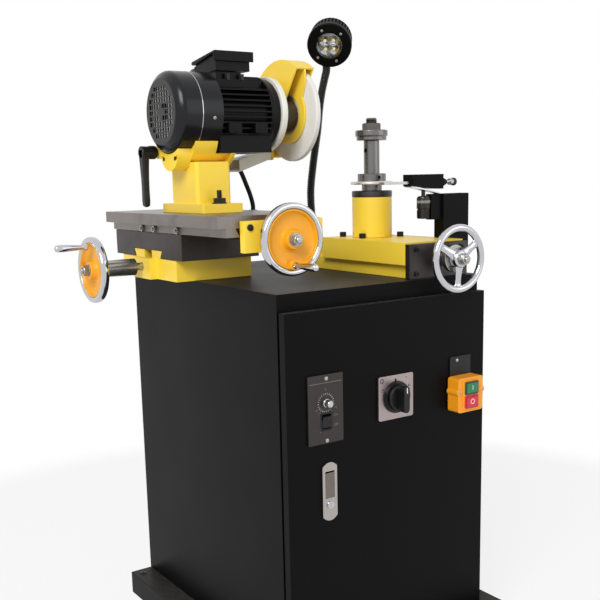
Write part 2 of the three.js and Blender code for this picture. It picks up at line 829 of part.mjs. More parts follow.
function crossSlide() {
  const left = slideX - slideBaseWidth / 2;
  const right = slideX + slideBaseWidth / 2;
  const front = slideY - slideBaseDepth / 2;
  const back = slideY + slideBaseDepth / 2;
  const floor = block(left, right, front, back, slideFloor, slideTop);
  const way = dovetail('x', slideY, slideTop - overrun, dovetailHeight + overrun, 0, left, right);
  const channel = block(
    left - overrun, right + overrun, slideY - screwChannel / 2, slideY + screwChannel / 2,
    slideFloor + channelFloor, slideTop + dovetailHeight + overrun,
  );
  const plate = block(
    left - endPlateThickness, left + overrun, slideY - endPlateWidth / 2, slideY + endPlateWidth / 2,
    slideFloor, slideTop,
  );
  const bore = rod('x', screwRadius + nutClearance, left - endPlateThickness - overrun, left + overrun * 2);
  bore.translate(0, slideY, longScrewZ);
  part('slide_base', cut(join(cut(join(floor, way), channel), plate), bore), yellowPaint);

  const saddleLeft = slideX - saddleWidth / 2;
  const saddleRight = slideX + saddleWidth / 2;
  const saddleFront = slideY - saddleDepth / 2;
  const saddleBack = slideY + saddleDepth / 2;
  const body = block(saddleLeft, saddleRight, saddleFront, saddleBack, saddleBottom, saddleTop);
  const female = dovetail(
    'x', slideY, slideTop - overrun, dovetailHeight + overrun + wayGap, wayGap, saddleLeft - overrun,
    saddleRight + overrun,
  );
  const nut = block(
    slideX - nutLength / 2, slideX + nutLength / 2, slideY - nutWidth / 2, slideY + nutWidth / 2,
    longScrewZ - screwRadius * 1.5, slideTop + dovetailHeight + wayGap + overrun,
  );
  const nutBore = rod('x', screwRadius + nutClearance, saddleLeft - overrun, saddleRight + overrun);
  nutBore.translate(0, slideY, longScrewZ);
  const male = dovetail(
    'y', slideX, saddleTop - overrun, dovetailHeight + overrun, 0, saddleFront, saddleBack,
  );
  const crossBore = rod('y', screwRadius + nutClearance, saddleFront - overrun, saddleBack + overrun);
  crossBore.translate(crossScrewX, 0, crossScrewZ);
  part('saddle', cut(join(cut(body, female), nut, male), nutBore, crossBore), castIron);

  const tableLeft = slideX - tableWidth / 2;
  const tableRight = slideX + tableWidth / 2;
  const tableBack = tableFront + tableDepth;
  const top = block(tableLeft, tableRight, tableFront, tableBack, tableBottom, tableTop);
  const rails = block(
    tableLeft + tableRailInset, tableRight - tableRailInset, tableFront, tableBack, railBottom,
    tableBottom + overrun,
  );
  const slot = dovetail(
    'y', slideX, saddleTop - overrun, dovetailHeight + overrun + wayGap, wayGap, tableFront - overrun,
    tableBack + overrun,
  );
  part('table', cut(join(top, rails), slot), castIron);

  const bracketTop = tableTop - bracketTopDrop;
  const bracketBack = tableFront - seat;
  const bracket = block(
    crossScrewX - bracketWidth / 2, crossScrewX + bracketWidth / 2, bracketBack - bracketThickness,
    bracketBack,
    bracketTop - bracketHeight, bracketTop,
  );
  const bracketBore = rod(
    'y', screwRadius + nutClearance, bracketBack - bracketThickness - overrun, bracketBack + overrun,
  );
  bracketBore.translate(crossScrewX, 0, crossScrewZ);
  part('screw_bracket', cut(bracket, bracketBore), yellowPaint);
}

// A dished handwheel on an axis that points at the user
function handwheel(name, axis, place, material, turn, windows) {
  const lower = -rimRadius;
  const rim = wheelRadius - rimRadius;
  const arc = Array.from({ length: 6 }, (_, i) => {
    const angle = -Math.PI / 2 + (i * Math.PI) / 5;
    return [rim + rimRadius * Math.cos(angle), rimRadius * Math.sin(angle)];
  });
  const web = lower + webDish;
  const boreRadius = stubRadius + seat;
  const profile = [
    [boreRadius, lower], [hubRadius, lower], [hubRadius, web], [rim - rimInset, web],
    [rim - rimRadius / 2, lower],
    ...arc,
    [rim - rimInset, rimRadius], [rim - rimInset - rimRadius / 2, web + webThickness],
    [hubRadius * 1.2, web + webThickness], [hubRadius, hubLength + lower], [boreRadius, hubLength + lower],
    [boreRadius, lower],
  ];
  const gripPlace = rim - gripInset + rimRadius;
  const gripBase = rod('z', gripRadius, web, rimRadius * 1.2, 20).translate(0, gripPlace - rimRadius, 0);
  let wheel = join(turned('z', profile), gripBase);
  if (windows) {
    const openings = [0, 1, 2].map((i) => {
      const sector = new THREE.Shape();
      const [inner, outer] = [hubRadius * 1.4, rim - rimInset * 1.4];
      const spread = Math.PI / 4;
      sector.absarc(0, 0, outer, -spread, spread, false);
      sector.absarc(0, 0, inner, spread, -spread, true);
      return prism('z', sector, lower - overrun, rimRadius * 2).rotateZ((i * 2 * Math.PI) / 3 - Math.PI / 2);
    });
    wheel = cut(turned('z', profile), ...openings);
  }
  return part(name, along(axis, wheel.rotateX(Math.PI).rotateZ(turn)), material, place);
}

// A lead screw with its dial collar, and the stub and nut that hold the handwheel.
// Places count along the axis, away from the user
function leadScrew(name, axis, place, from, end) {
  const reach = rimRadius - hubLength;
  const nutFace = reach - seat;
  const thread = from - wheelShoulder;
  const nutRadius = wheelNutRadius;
  const profile = [
    [0, nutFace - wheelNutLength - stubEnd], [stubRadius * 0.8, nutFace - wheelNutLength - stubEnd],
    [stubRadius, nutFace - wheelNutLength], [nutRadius, nutFace - wheelNutLength], [nutRadius, nutFace],
    [stubRadius, nutFace], [stubRadius, rimRadius + seat], [collarRadius, rimRadius + seat],
    [collarRadius, rimRadius + seat + collarLength], [hubRadius, rimRadius + seat + collarLength],
    [hubRadius, thread], [screwRadius, thread], [screwRadius, end], [0, end],
  ];
  return part(name, turned(axis, profile, 20), steel, place);
}

function handGrip(name, axis, place) {
  const face = -(rimRadius * 1.2) - seat;
  const half = gripLength / 2;
  const profile = [
    [0, face - gripLength], [gripRadius * 0.8, face - gripLength],
    [gripRadius, face - gripLength + gripRadius / 2],
    [gripRadius * 0.85, face - half], [gripRadius * 0.7, face - gripRadius], [gripRadius * 0.9, face],
    [0, face],
  ];
  return part(name, turned(axis, profile, 16), chrome, place);
}

function slideHandwheels() {
  const bracketFront = tableFront - seat - bracketThickness;
  const frontPlace = [crossScrewX, frontWheelY, crossScrewZ];
  handwheel('front_handwheel', 'y', frontPlace, yellowPaint, 0);
  const saddleFront = slideY - saddleDepth / 2;
  leadScrew(
    'cross_screw', 'y', frontPlace, bracketFront - frontWheelY, saddleFront + saddleDepth / 2 - frontWheelY,
  );
  const orbit = wheelRadius - rimRadius - gripInset;
  handGrip('front_grip', 'y', [crossScrewX, frontWheelY, crossScrewZ - orbit]);

  const sidePlace = [sideWheelX, slideY, longScrewZ];
  handwheel('side_handwheel', 'x', sidePlace, yellowPaint, Math.PI);
  const plateLeft = slideX - slideBaseWidth / 2 - endPlateThickness;
  leadScrew('long_screw', 'x', sidePlace, plateLeft - sideWheelX, slideX + saddleWidth / 2 - sideWheelX);
  handGrip('side_grip', 'x', [sideWheelX, slideY, longScrewZ + orbit]);
}

function grindingColumn() {
  const flangeTop = tableTop + seat + columnFlangeHeight;
  const flange = block(
    columnX - columnFlangeWidth / 2, columnX + columnFlangeWidth / 2, columnY - columnFlangeDepth / 2,
    columnY + columnFlangeDepth / 2, tableTop + seat, flangeTop,
  );
  const [halfWidth, halfDepth] = [columnWidth / 2, columnDepth / 2];
  const edge = columnChamfer;
  const outline = [
    [-halfWidth + edge, -halfDepth], [halfWidth - edge, -halfDepth], [halfWidth, -halfDepth + edge],
    [halfWidth, halfDepth - edge], [halfWidth - edge, halfDepth], [-halfWidth + edge, halfDepth],
    [-halfWidth, halfDepth - edge], [-halfWidth, -halfDepth + edge],
  ];
  const post = prism('z', outline, tableTop + seat * 2, columnTop).translate(columnX, columnY, 0);
  const hollow = rod('x', cradleRadius + seat, columnX - columnWidth, columnX + columnWidth, 60);
  hollow.translate(0, tiltY, tiltZ);
  const fasteners = [-columnStudOut, columnStudOut].flatMap((y) => {
    const stud = rod('z', columnStudRadius, flangeTop - overrun, flangeTop + columnStudHeight, 16);
    const nut = prism('z', hexagon(columnNutRadius * 2), flangeTop - overrun, flangeTop + columnNutHeight);
    return [stud.translate(columnX, columnY + y, 0), nut.translate(columnX, columnY + y, 0)];
  });
  part('column', cut(join(flange, post, ...fasteners), hollow), yellowPaint);
}

// The head's pieces are placed from the motor's axis, with X from the column's middle plane
const head = new THREE.Group();
head.position.set(columnX, tiltY, motorZ);
machine.add(head);
const tiltDrop = tiltZ - motorZ;
const leverPlaceY = leverY - tiltY;
const leverPlaceZ = leverZ - motorZ;
const coreTop = footBottom - seat - motorZ;
const footStart = coverEnd + seat;
const columnLeft = -columnWidth / 2;
const columnRight = columnWidth / 2;
const boxBottom = coverRadius + seat * 2;

function cradle() {
  const inner = columnLeft - seat;
  const outer = inner - earThickness;
  const core = rod(
    'x', cradleRadius, inner - overrun, columnRight + seat + overrun, 60,
  ).translate(0, 0, tiltDrop);
  const ear = rod('x', earRadius, outer, inner, 44).translate(0, 0, tiltDrop);
  const thin = rod(
    'x', earRadius, columnRight + seat, columnRight + seat + thinEar, 44,
  ).translate(0, 0, tiltDrop);
  const wide = earRadius * 2;
  const above = block(
    footStart - seat, columnRight + thinEar + overrun, -wide, wide, coreTop, coreTop + wide,
  );
  const cover = rod('x', coverRadius + seat * 2, outer - overrun, coverEnd + seat, 44);
  const behind = block(coverEnd + seat - overrun, footStart + overrun, -wide, wide, coreTop, coreTop + wide);
  const top = block(
    outer - overrun, columnRight + thinEar + overrun, -wide, wide, tiltDrop, tiltDrop + wide,
  );
  const boltHole = rod('x', leverBoltRadius + leverBoltClearance, outer - overrun, inner + overrun, 24);
  boltHole.translate(0, leverPlaceY, leverPlaceZ);
  const screwHoles = [-1, 1].map((side) => {
    const hole = rod('x', earHoleRadius, outer - overrun, outer + earHoleDepth, 16);
    return hole.translate(0, side * earHoleSpread, tiltDrop - earHoleDrop);
  });
  const solid = cut(join(core, ear, thin), above, behind, cover, top, boltHole, ...screwHoles);
  part('cradle', solid, yellowPaint, [0, 0, 0], head);

  // The lever's bolt goes through the ear, and its tip presses on the column
  const face = outer - seat;
  const hub = rod('x', leverHubRadius, face - leverHubLength, face - leverOut / 8, 32);
  const bolt = rod('x', leverBoltRadius, face - leverOut, inner, 20);
  const armEnd = face - leverHubLength + leverThickness;
  const arm = prism('x', [
    [-leverRootRadius, 0], [-leverTipRadius, -leverArm + leverTipRadius], [-leverTipRadius / 2, -leverArm],
    [leverTipRadius / 2, -leverArm], [leverTipRadius, -leverArm + leverTipRadius], [leverRootRadius, 0],
  ], face - leverHubLength, armEnd);
  part('clamp_lever', join(hub, bolt, arm), blackPlastic, [0, leverPlaceY, leverPlaceZ], head);
}

function motorBody() {
  const core = rod('x', frameCoreRadius, coverEnd + seat, frameEnd + overrun, 32);
  const fins = [];
  for (let i = 0; i < finCount * 2; i += 1) {
    const offset = (i - finCount + 0.5) * finPitch;
    const half = finThickness / 2;
    fins.push(block(coverEnd + seat, frameEnd, -finRadius * 2, finRadius * 2, offset - half, offset + half));
    fins.push(block(coverEnd + seat, frameEnd, offset - half, offset + half, -finRadius, finRadius * 2));
  }
  const envelope = rod('x', finRadius, coverEnd + seat, frameEnd, 36);
  const finned = common(join(...fins), envelope);
  const foot = block(
    footStart, footEnd, -footWidth / 2, footWidth / 2, coreTop + seat, coreTop + seat + footRise,
  );
  const shield = turned('x', [
    [0, frameEnd - overrun], [finRadius, frameEnd - overrun], [finRadius, frameEnd + overrun],
    [shieldRadius, (frameEnd + shieldEnd) / 2], [shieldRadius - bevel, shieldEnd], [0, shieldEnd],
  ], 36);
  const bosses = [footEnd * 0.3, footEnd * 0.75].map((x) => block(
    x - bossWidth / 2, x + bossWidth / 2, -bossOut, bossOut, -bossDrop - bossHeight / 2,
    -bossDrop + bossHeight / 2,
  ));
  const neckTop = boxBottom - seat;
  const pad = block(
    boxStart + boxInset * 2, boxStart + boxLength - boxInset * 2, boxFrontY + boxInset,
    boxFrontY + boxDepth - boxInset,
    frameCoreRadius / 2, neckTop,
  );
  const cavity = rod(
    'x', rotorRadius + rotorClearance, rotorStart - rotorClearance, rotorEnd + rotorClearance, 32,
  );
  const bore = rod('x', shaftRadius + shaftClearance, coverFront, shieldEnd + overrun, 24);
  const lid = rod('x', coverRadius, coverFront, coverEnd + seat, 24);
  const solid = cut(join(core, finned, foot, shield, ...bosses, pad), cavity, bore, lid);
  part('motor_body', solid, blackPaint, [0, 0, 0], head);

  part(
    'flange_ring', tube('x', ringRadius, ringBore, shieldEnd + seat, ringEnd, 36), lightPaint, [0, 0, 0],
    head,
  );
}

function fanCover() {
  const wall = coverWall;
  const outer = [
    [0, coverFront], [coverFaceRadius, coverFront], [coverFaceRadius + (coverRadius - coverFaceRadius) * 0.6,
      coverFront + coverShoulder * 0.4],
    [coverRadius - seat, coverFront + coverShoulder], [coverRadius, coverEnd],
  ];
  const inner = [
    [coverRadius - wall, coverEnd], [coverRadius - wall, coverFront + coverShoulder],
    [coverFaceRadius, coverFront + coverShoulder * 0.6], [coverFaceRadius - wall, coverFront + wall],
    [0, coverFront + wall],
  ];
  const holes = [];
  const rows = Math.floor(grilleRadius / grillePitch);
  for (let i = -rows; i <= rows; i += 1) {
    for (let k = -rows; k <= rows; k += 1) {
      const [y, z] = [i * grillePitch, k * grillePitch];
      const distance = Math.hypot(y, z);
      if (distance > grilleRadius || distance < grillePitch * 1.5) continue;
      const half = grilleHole / 2;
      const hole = block(
        coverFront - overrun, coverFront + wall + overrun, y - half, y + half, z - half, z + half,
      );
      holes.push(hole);
    }
  }
  part('fan_cover', cut(turned('x', [...outer, ...inner], 36), ...holes), blackPaint, [0, 0, 0], head);

  const hub = tube('x', fanHubRadius, shaftRadius + shaftClearance, fanStart, fanStart + fanBladeWidth, 24);
  const disc = tube('x', fanRadius, fanHubRadius - overrun, fanStart + fanBladeWidth - fanThickness,
    fanStart + fanBladeWidth, 28);
  const blades = Array.from({ length: fanBlades }, (_, i) => {
    const blade = block(
      fanStart, fanStart + fanBladeWidth - overrun / 2, fanHubRadius - overrun, fanRadius,
      -fanThickness / 2, fanThickness / 2,
    );
    return blade.rotateX((i * 2 * Math.PI) / fanBlades);
  });
  part('cooling_fan', join(hub, disc, ...blades), lightPaint, [0, 0, 0], head);
}

function terminalBox() {
  const [x0, x1] = [boxStart, boxStart + boxLength];
  const [y0, y1] = [boxFrontY, boxFrontY + boxDepth];
  const frontTop = boxBottom + boxWallHeight;
  const backTop = frontTop - boxSlope;
  const walls = prism('x', [
    [y0, boxBottom], [y1, boxBottom], [y1, backTop - lidThickness], [y0, frontTop - lidThickness],
  ],
    x0 + boxInset, x1 - boxInset);
  const room = prism('x', [
    [y0 + boxWall, boxBottom + boxWall], [y1 - boxWall, boxBottom + boxWall],
    [y1 - boxWall, frontTop + overrun], [y0 + boxWall, frontTop + overrun],
  ], x0 + boxInset + boxWall, x1 - boxInset - boxWall);
  const gland = rod('y', glandRadius, y1 - overrun, y1 + glandLength * 2, 16);
  const glandX = (x0 + x1) / 2;
  const glandZ = (boxBottom + backTop) / 2;
  gland.translate(glandX, 0, glandZ);
  part('terminal_box', join(cut(walls, room), gland), blackPaint, [0, 0, 0], head);

  const lip = prism('x', [
    [y0 - lidLip / 2, frontTop - lidLip - lidThickness], [y0 - seat, frontTop - lidLip - lidThickness],
    [y0 - seat, frontTop - lidThickness + seat], [y1 + seat, backTop - lidThickness + seat],
    [y1 + lidLip / 2, backTop - lidThickness + seat], [y1 + lidLip / 2, backTop],
    [y0 - lidLip / 2, frontTop],
  ], x0, x1);
  part('terminal_lid', lip, blackPaint, [0, 0, 0], head);
}

function spindle() {
  const shaft = turned('x', [
    [0, fanStart - bevel], [shaftRadius, fanStart - bevel], [shaftRadius, rotorStart],
    [rotorRadius, rotorStart],
    [rotorRadius, rotorEnd], [shaftRadius, rotorEnd], [shaftRadius, hubStart], [hubOuterRadius, hubStart],
    [hubOuterRadius, hubEnd], [clampRadius, hubEnd], [clampRadius, wheelStart - seat],
    [grindHoleRadius, wheelStart - seat],
    [grindHoleRadius, wheelStart + wheelThickness + spindleNutLength + spindleStud],
    [0, wheelStart + wheelThickness + spindleNutLength + spindleStud],
  ], 24);
  part('spindle_shaft', shaft, darkSteel, [0, 0, 0], head);

  const hole = grindHoleRadius + grindHoleClearance;
  const wheelEnd = wheelStart + wheelThickness;
  const stone = turned('x', [
    [hole, wheelStart], [grindRadius - bevel, wheelStart], [grindRadius, wheelStart + bevel],
    [grindRadius, wheelEnd], [grindRadius - grindRimWidth, wheelEnd],
    [grindRadius - grindRimWidth - grindDish, wheelEnd - grindDish], [hole, wheelEnd - grindDish],
    [hole, wheelStart],
  ], 44);
  part('grinding_wheel', stone, whiteStone, [0, 0, 0], head);

  const start = wheelEnd - grindDish + seat;
  const clamp = tube(
    'x', clampRadius, grindHoleRadius + grindHoleClearance, start, start + clampThickness, 20,
  );
  const nut = prism(
    'x', hexagon(spindleNutRadius * 2), start + overrun, start + clampThickness + spindleNutLength,
  );
  const bore = rod(
    'x', grindHoleRadius + grindHoleClearance, start - overrun,
    start + clampThickness * 2 + spindleNutLength,
  );
  part('spindle_nut', cut(join(clamp, nut), bore), darkSteel, [0, 0, 0], head);
}

// The hood goes over the wheel and down its back. Three posts carry it from the flange ring,
// and a bracket inside it ends in a ring round the hub
function wheelGuard() {
  const rim = Array.from({ length: hoodAngleSteps + 1 }, (_, i) => {
    const angle = THREE.MathUtils.degToRad(
      THREE.MathUtils.lerp(hoodBackAngle, hoodFrontAngle, i / hoodAngleSteps),
    );
    return [hoodRadius * 2 * Math.cos(angle), hoodRadius * 2 * Math.sin(angle)];
  });
  const drum = rod('x', hoodRadius, hoodStart, hoodEnd, 44);
  const room = rod('x', hoodRadius - hoodWall, hoodStart + hoodWall, hoodEnd - hoodWall, 44);
  const sector = prism('x', [[0, 0], ...rim], hoodStart - overrun, hoodEnd + overrun);
  const shell = common(cut(drum, room), sector);
  const opening = rod('x', guardRingHole, hoodStart - overrun, hoodEnd + overrun, 28);

  const guardEnd = guardStart + guardThickness;
  const arm = prism(
    'x', guardArmShares.map((p) => p.map((share) => share * hoodRadius)), guardStart, guardEnd,
  );
  const ring = rod('x', guardRingRadius, guardStart, guardEnd, 36);
  const posts = guardPostShares.map(([y, z]) => {
    const post = rod('x', guardPostRadius, ringEnd + seat, hoodStart + hoodWall / 2, 12);
    return post.translate(0, y * ringRadius, z * ringRadius);
  });

  const top = spoutTop - motorZ;
  const [x0, x1] = [hoodStart - seat - spoutLength + spoutX, hoodStart - seat];
  const [y0, y1] = [spoutY - tiltY, spoutY - tiltY + spoutWidth];
  const low = top - spoutHeight;
  const flange = block(
    hoodStart, hoodStart + hoodWall, y0 - spoutFlange, y1 + spoutFlange, low + spoutMouth - spoutFlange,
    top + spoutFlange,
  );
  const dustHole = block(
    hoodStart - overrun, hoodStart + hoodWall + overrun, y0 + spoutWall, y1 - spoutWall,
    low + spoutMouth + spoutWall, top - spoutWall,
  );
  const guard = cut(join(shell, flange, arm, ring, ...posts), opening, dustHole);
  part('wheel_guard', guard, yellowPaint, [0, 0, 0], head);

  const funnel = prism('y', [
    [-x1, top], [-x1, low + spoutMouth], [-x0, low], [-x0, low + spoutMouth],
  ], y0, y1);
  const bore = prism('y', [
    [-x1 - overrun, top - spoutWall], [-x1 - overrun, low + spoutMouth + spoutWall],
    [-x0 + overrun, low + spoutWall], [-x0 + overrun, low + spoutMouth - spoutWall],
  ], y0 + spoutWall, y1 - spoutWall);
  part('dust_spout', cut(funnel, bore), lightPaint, [0, 0, 0], head);
}

function motorCord() {
  part('motor_cord', pipe(cordRoute, cordRadius, cordSides, 32), blackPlastic);
  const end = cordRoute[cordRoute.length - 1];
  const tableRight = slideX + tableWidth / 2;
  const gland = rod('z', glandRadius, clipTop - glandLength, end[2] - seat, 16).translate(end[0], end[1], 0);
  const arm = block(
    tableRight + seat, end[0] + glandRadius, end[1] - clipWidth / 2, end[1] + clipWidth / 2,
    clipTop - clipThickness, clipTop,
  );
  part('cord_clip', join(arm, gland), blackPlastic);
}

function arborSlide() {
  const bedLeft = arborX - bedWidth / 2;
  const bedRight = arborX + bedWidth / 2;
  const bedBack = bedFront + bedLength;
  const bedTop = slideFloor + bedHeight;
  const floor = block(bedLeft, bedRight, bedFront, bedBack, slideFloor, bedTop);
  const way = dovetail(
    'y', arborX, bedTop - overrun, arborDovetailHeight + overrun, 0, bedFront, bedBack, arborDovetailNeck,
  );
  const channel = block(
    arborScrewX - arborChannel / 2, arborScrewX + arborChannel / 2, bedFront - overrun, bedBack + overrun,
    bedTop - arborChannelFloor, bedTop + arborDovetailHeight + overrun,
  );
  part('arbor_bed', cut(join(floor, way), channel), yellowPaint);

  const plateTop = carriageTop - endPlateTopDrop;
  const plateBack = bedFront - seat;
  const plate = block(
    arborX - carriageWidth / 2, arborX + carriageWidth / 2, plateBack - endPlateDepth, plateBack,
    slideFloor, plateTop,
  );
  const plateBore = rod(
    'y', screwRadius + nutClearance, plateBack - endPlateDepth - overrun, plateBack + overrun,
  );
  plateBore.translate(arborScrewX, 0, arborScrewZ);
  part('arbor_end_plate', cut(plate, plateBore), darkSteel);

  const left = arborX - carriageWidth / 2;
  const right = arborX + carriageWidth / 2;
  const carriageStart = carriageFront;
  const carriageBack = carriageStart + carriageLength;
  const body = block(left, right, carriageStart, carriageBack, bedTop + seat, carriageTop);
  const female = dovetail(
    'y', arborX, bedTop - overrun, arborDovetailHeight + overrun + wayGap, wayGap,
    carriageStart - overrun, carriageBack + overrun, arborDovetailNeck,
  );
  const middle = (carriageStart + carriageBack) / 2;
  const lug = block(
    arborScrewX - arborNutWidth / 2, arborScrewX + arborNutWidth / 2, middle - arborNutLength / 2,
    middle + arborNutLength / 2, bedTop - arborChannelFloor + seat * 2, carriageTop - overrun,
  );
  const bore = rod('y', screwRadius + nutClearance, carriageStart - overrun, carriageBack + overrun);
  bore.translate(arborScrewX, 0, arborScrewZ);
  part('arbor_carriage', cut(join(cut(body, female), lug), bore), yellowPaint);

  const wheelPlace = [arborScrewX, arborWheelY, arborScrewZ];
  handwheel('arbor_handwheel', 'y', wheelPlace, chrome, 0, true);
  leadScrew(
    'arbor_screw', 'y', wheelPlace, plateBack - endPlateDepth - arborWheelY, bedBack - overrun - arborWheelY,
  );
}

function arbor() {
  const base = carriageTop + seat;
  const housingTop = base + housingHeight;
  const housing = cut(
    rod('z', housingRadius, base, housingTop, 36),
    rod('z', bearingBore, housingTop - spigotDepth, housingTop + overrun, 32),
  );
  const place = [arborX, arborY, 0];
  part('arbor_housing', housing, yellowPaint, place);

  const ringBase = housingTop + seat;
  const ringTop = ringBase + capRingHeight;
  part('bearing_cap', tube('z', capRingRadius, bearingBore, ringBase, ringTop, 36), darkSteel, place);

  const collarBase = ringTop + seat;
  const collarTop = collarBase + collarFlangeHeight;
  const discTop = collarTop + thinDiscHeight;
  const flangeTop = discTop + lowerFlangeHeight;
  const shaftTop = flangeTop + arborShaftHeight;
  const studTop = shaftTop + upperFlangeHeight + arborNutHeight + arborStudHeight;
  const shaft = turned('z', [
    [0, housingTop - spigotDepth + seat * 2], [spigotRadius, housingTop - spigotDepth + seat * 2],
    [spigotRadius, collarBase], [collarFlangeRadius, collarBase], [collarFlangeRadius, collarTop],
    [thinDiscRadius, collarTop], [thinDiscRadius, discTop - bevel], [lowerFlangeRadius, discTop],
    [lowerFlangeRadius, flangeTop], [arborShaftRadius, flangeTop], [arborShaftRadius, shaftTop],
    [arborStudRadius, shaftTop], [arborStudRadius, studTop - bevel / 2],
    [arborStudRadius - bevel / 2, studTop],
    [0, studTop],
  ], 28);
  const crossHole = rod('x', crossHoleRadius, -arborShaftRadius * 2, arborShaftRadius * 2, 16);
  crossHole.translate(0, 0, flangeTop + crossHoleUp);
  part('arbor_shaft', cut(shaft, crossHole), steel, place);

  const low = shaftTop + seat;
  const half = upperFlangeHeight / 2;
  const hole = arborStudRadius + arborHoleClearance;
  const flange = turned('z', [
    [hole, low], [upperFlangeRadius - upperGroove, low],
    [upperFlangeRadius - upperGroove, low + half - upperGroove],
    [upperFlangeRadius, low + half - upperGroove / 2], [upperFlangeRadius, low + half * 2 - bevel / 2],
    [upperFlangeRadius - bevel / 2, low + half * 2 - seat], [hole, low + half * 2 - seat], [hole, low],
  ], 28);
  part('clamp_flange', flange, steel, place);

  const nutBase = low + upperFlangeHeight;
  const nut = prism('z', hexagon(arborNutFlats), nutBase, nutBase + arborNutHeight - seat * 2);
  part(
    'arbor_nut', cut(nut, rod('z', hole, nutBase - overrun, nutBase + arborNutHeight + overrun, 32)), steel,
    place,
  );
}

function stopFinger() {
  const right = arborX + carriageWidth / 2;
  const upper = block(postX, postX + postWidth, postY, postY + postDepth, carriageTop + seat, postTop);
  const lower = block(
    right + seat, postX + postWidth, postY, postY + postDepth, postBottom, carriageTop + seat + overrun,
  );
  const armFront = postY + (postDepth - postSlideWidth) / 2;
  const arm = block(
    thimbleX + thimbleRadius + seat * 2, postX + overrun, armFront, armFront + postSlideWidth,
    postSlideBottom, postTop,
  );
  part('finger_post', join(upper, lower, arm), blackPaint);

  const thimbleBottom = thimbleTop - thimbleHeight;
  const thimble = turned('z', [
    [0, thimbleBottom], [thimbleRadius - bevel / 2, thimbleBottom],
    [thimbleRadius, thimbleBottom + bevel / 2],
    [thimbleRadius, thimbleTop], [thimbleScrew, thimbleTop], [thimbleScrew, thimbleTop + thimbleScrewUp],
    [0, thimbleTop + thimbleScrewUp],
  ], 24);
  part('finger_thimble', thimble, darkSteel, [thimbleX, thimbleY, 0]);

  const [x0, x1] = [fingerBoxX, fingerBoxX + fingerBoxLength];
  const [y0, y1] = [fingerBoxY, fingerBoxY + fingerBoxDepth];
  const low = fingerBoxTop - fingerBoxRise;
  const body = prism('y', [
    [-x1, fingerBoxTop], [-x1, low - fingerBoxDeep], [-x1 + fingerBoxDeep * 2, low - fingerBoxDeep],
    [-x0, low],
    [-x0, fingerBoxTop],
  ], y0, y1);
  const middle = (y0 + y1) / 2;
  const nose = turned('x', [
    [0, x1 - overrun], [noseRadius, x1 - overrun], [noseRadius, x1 + noseLength / 3],
    [noseRadius / 2, x1 + noseLength], [0, x1 + noseLength],
  ], 24).translate(0, middle, fingerZ);
  const slot = block(
    x0 - overrun, x1 - noseLength, middle - fingerWidth / 2 - fingerClearance,
    middle + fingerWidth / 2 + fingerClearance,
    fingerZ - fingerThickness / 2 - fingerClearance, fingerZ + fingerThickness / 2 + fingerClearance,
  );
  const bore = rod(
    'x', fingerRodRadius + fingerClearance, x0, x1 + noseLength * 2, 16,
  ).translate(0, middle, fingerZ);

  // The strip under the box is a leaf spring whose end rests on the post's arm
  const stripEnd = postTop + seat;
  const strip = prism('y', [
    [-x0, low + stripThickness], [-x0, low - stripThickness / 2], [-x1 + stripEndGap, stripEnd],
    [-x1 + stripEndGap, stripEnd + stripThickness],
  ], middle - stripWidth / 2, middle + stripWidth / 2);
  const socket = rod(
    'z', thimbleScrew + seat, stripEnd - overrun, thimbleTop + thimbleScrewUp + seat * 2, 16,
  );
  socket.translate(thimbleX, thimbleY, 0);
  part('finger_box', cut(join(body, nose, strip), slot, bore, socket), blackPaint);

  const blade = block(
    x0 - fingerReach, x1 - noseLength * 2, middle - fingerWidth / 2, middle + fingerWidth / 2,
    fingerZ - fingerThickness / 2, fingerZ + fingerThickness / 2,
  );
  const pull = rod('x', fingerRodRadius, x1 - noseLength * 2 - overrun, x1 + fingerKnobOut, 16);
  const knob = rod(
    'x', fingerKnobRadius, x1 + fingerKnobOut - overrun, x1 + fingerKnobOut + fingerKnobLength, 24,
  );
  const pulled = join(pull, knob).translate(0, middle, fingerZ);
  part('stop_finger', join(blade, pulled), steel);
}

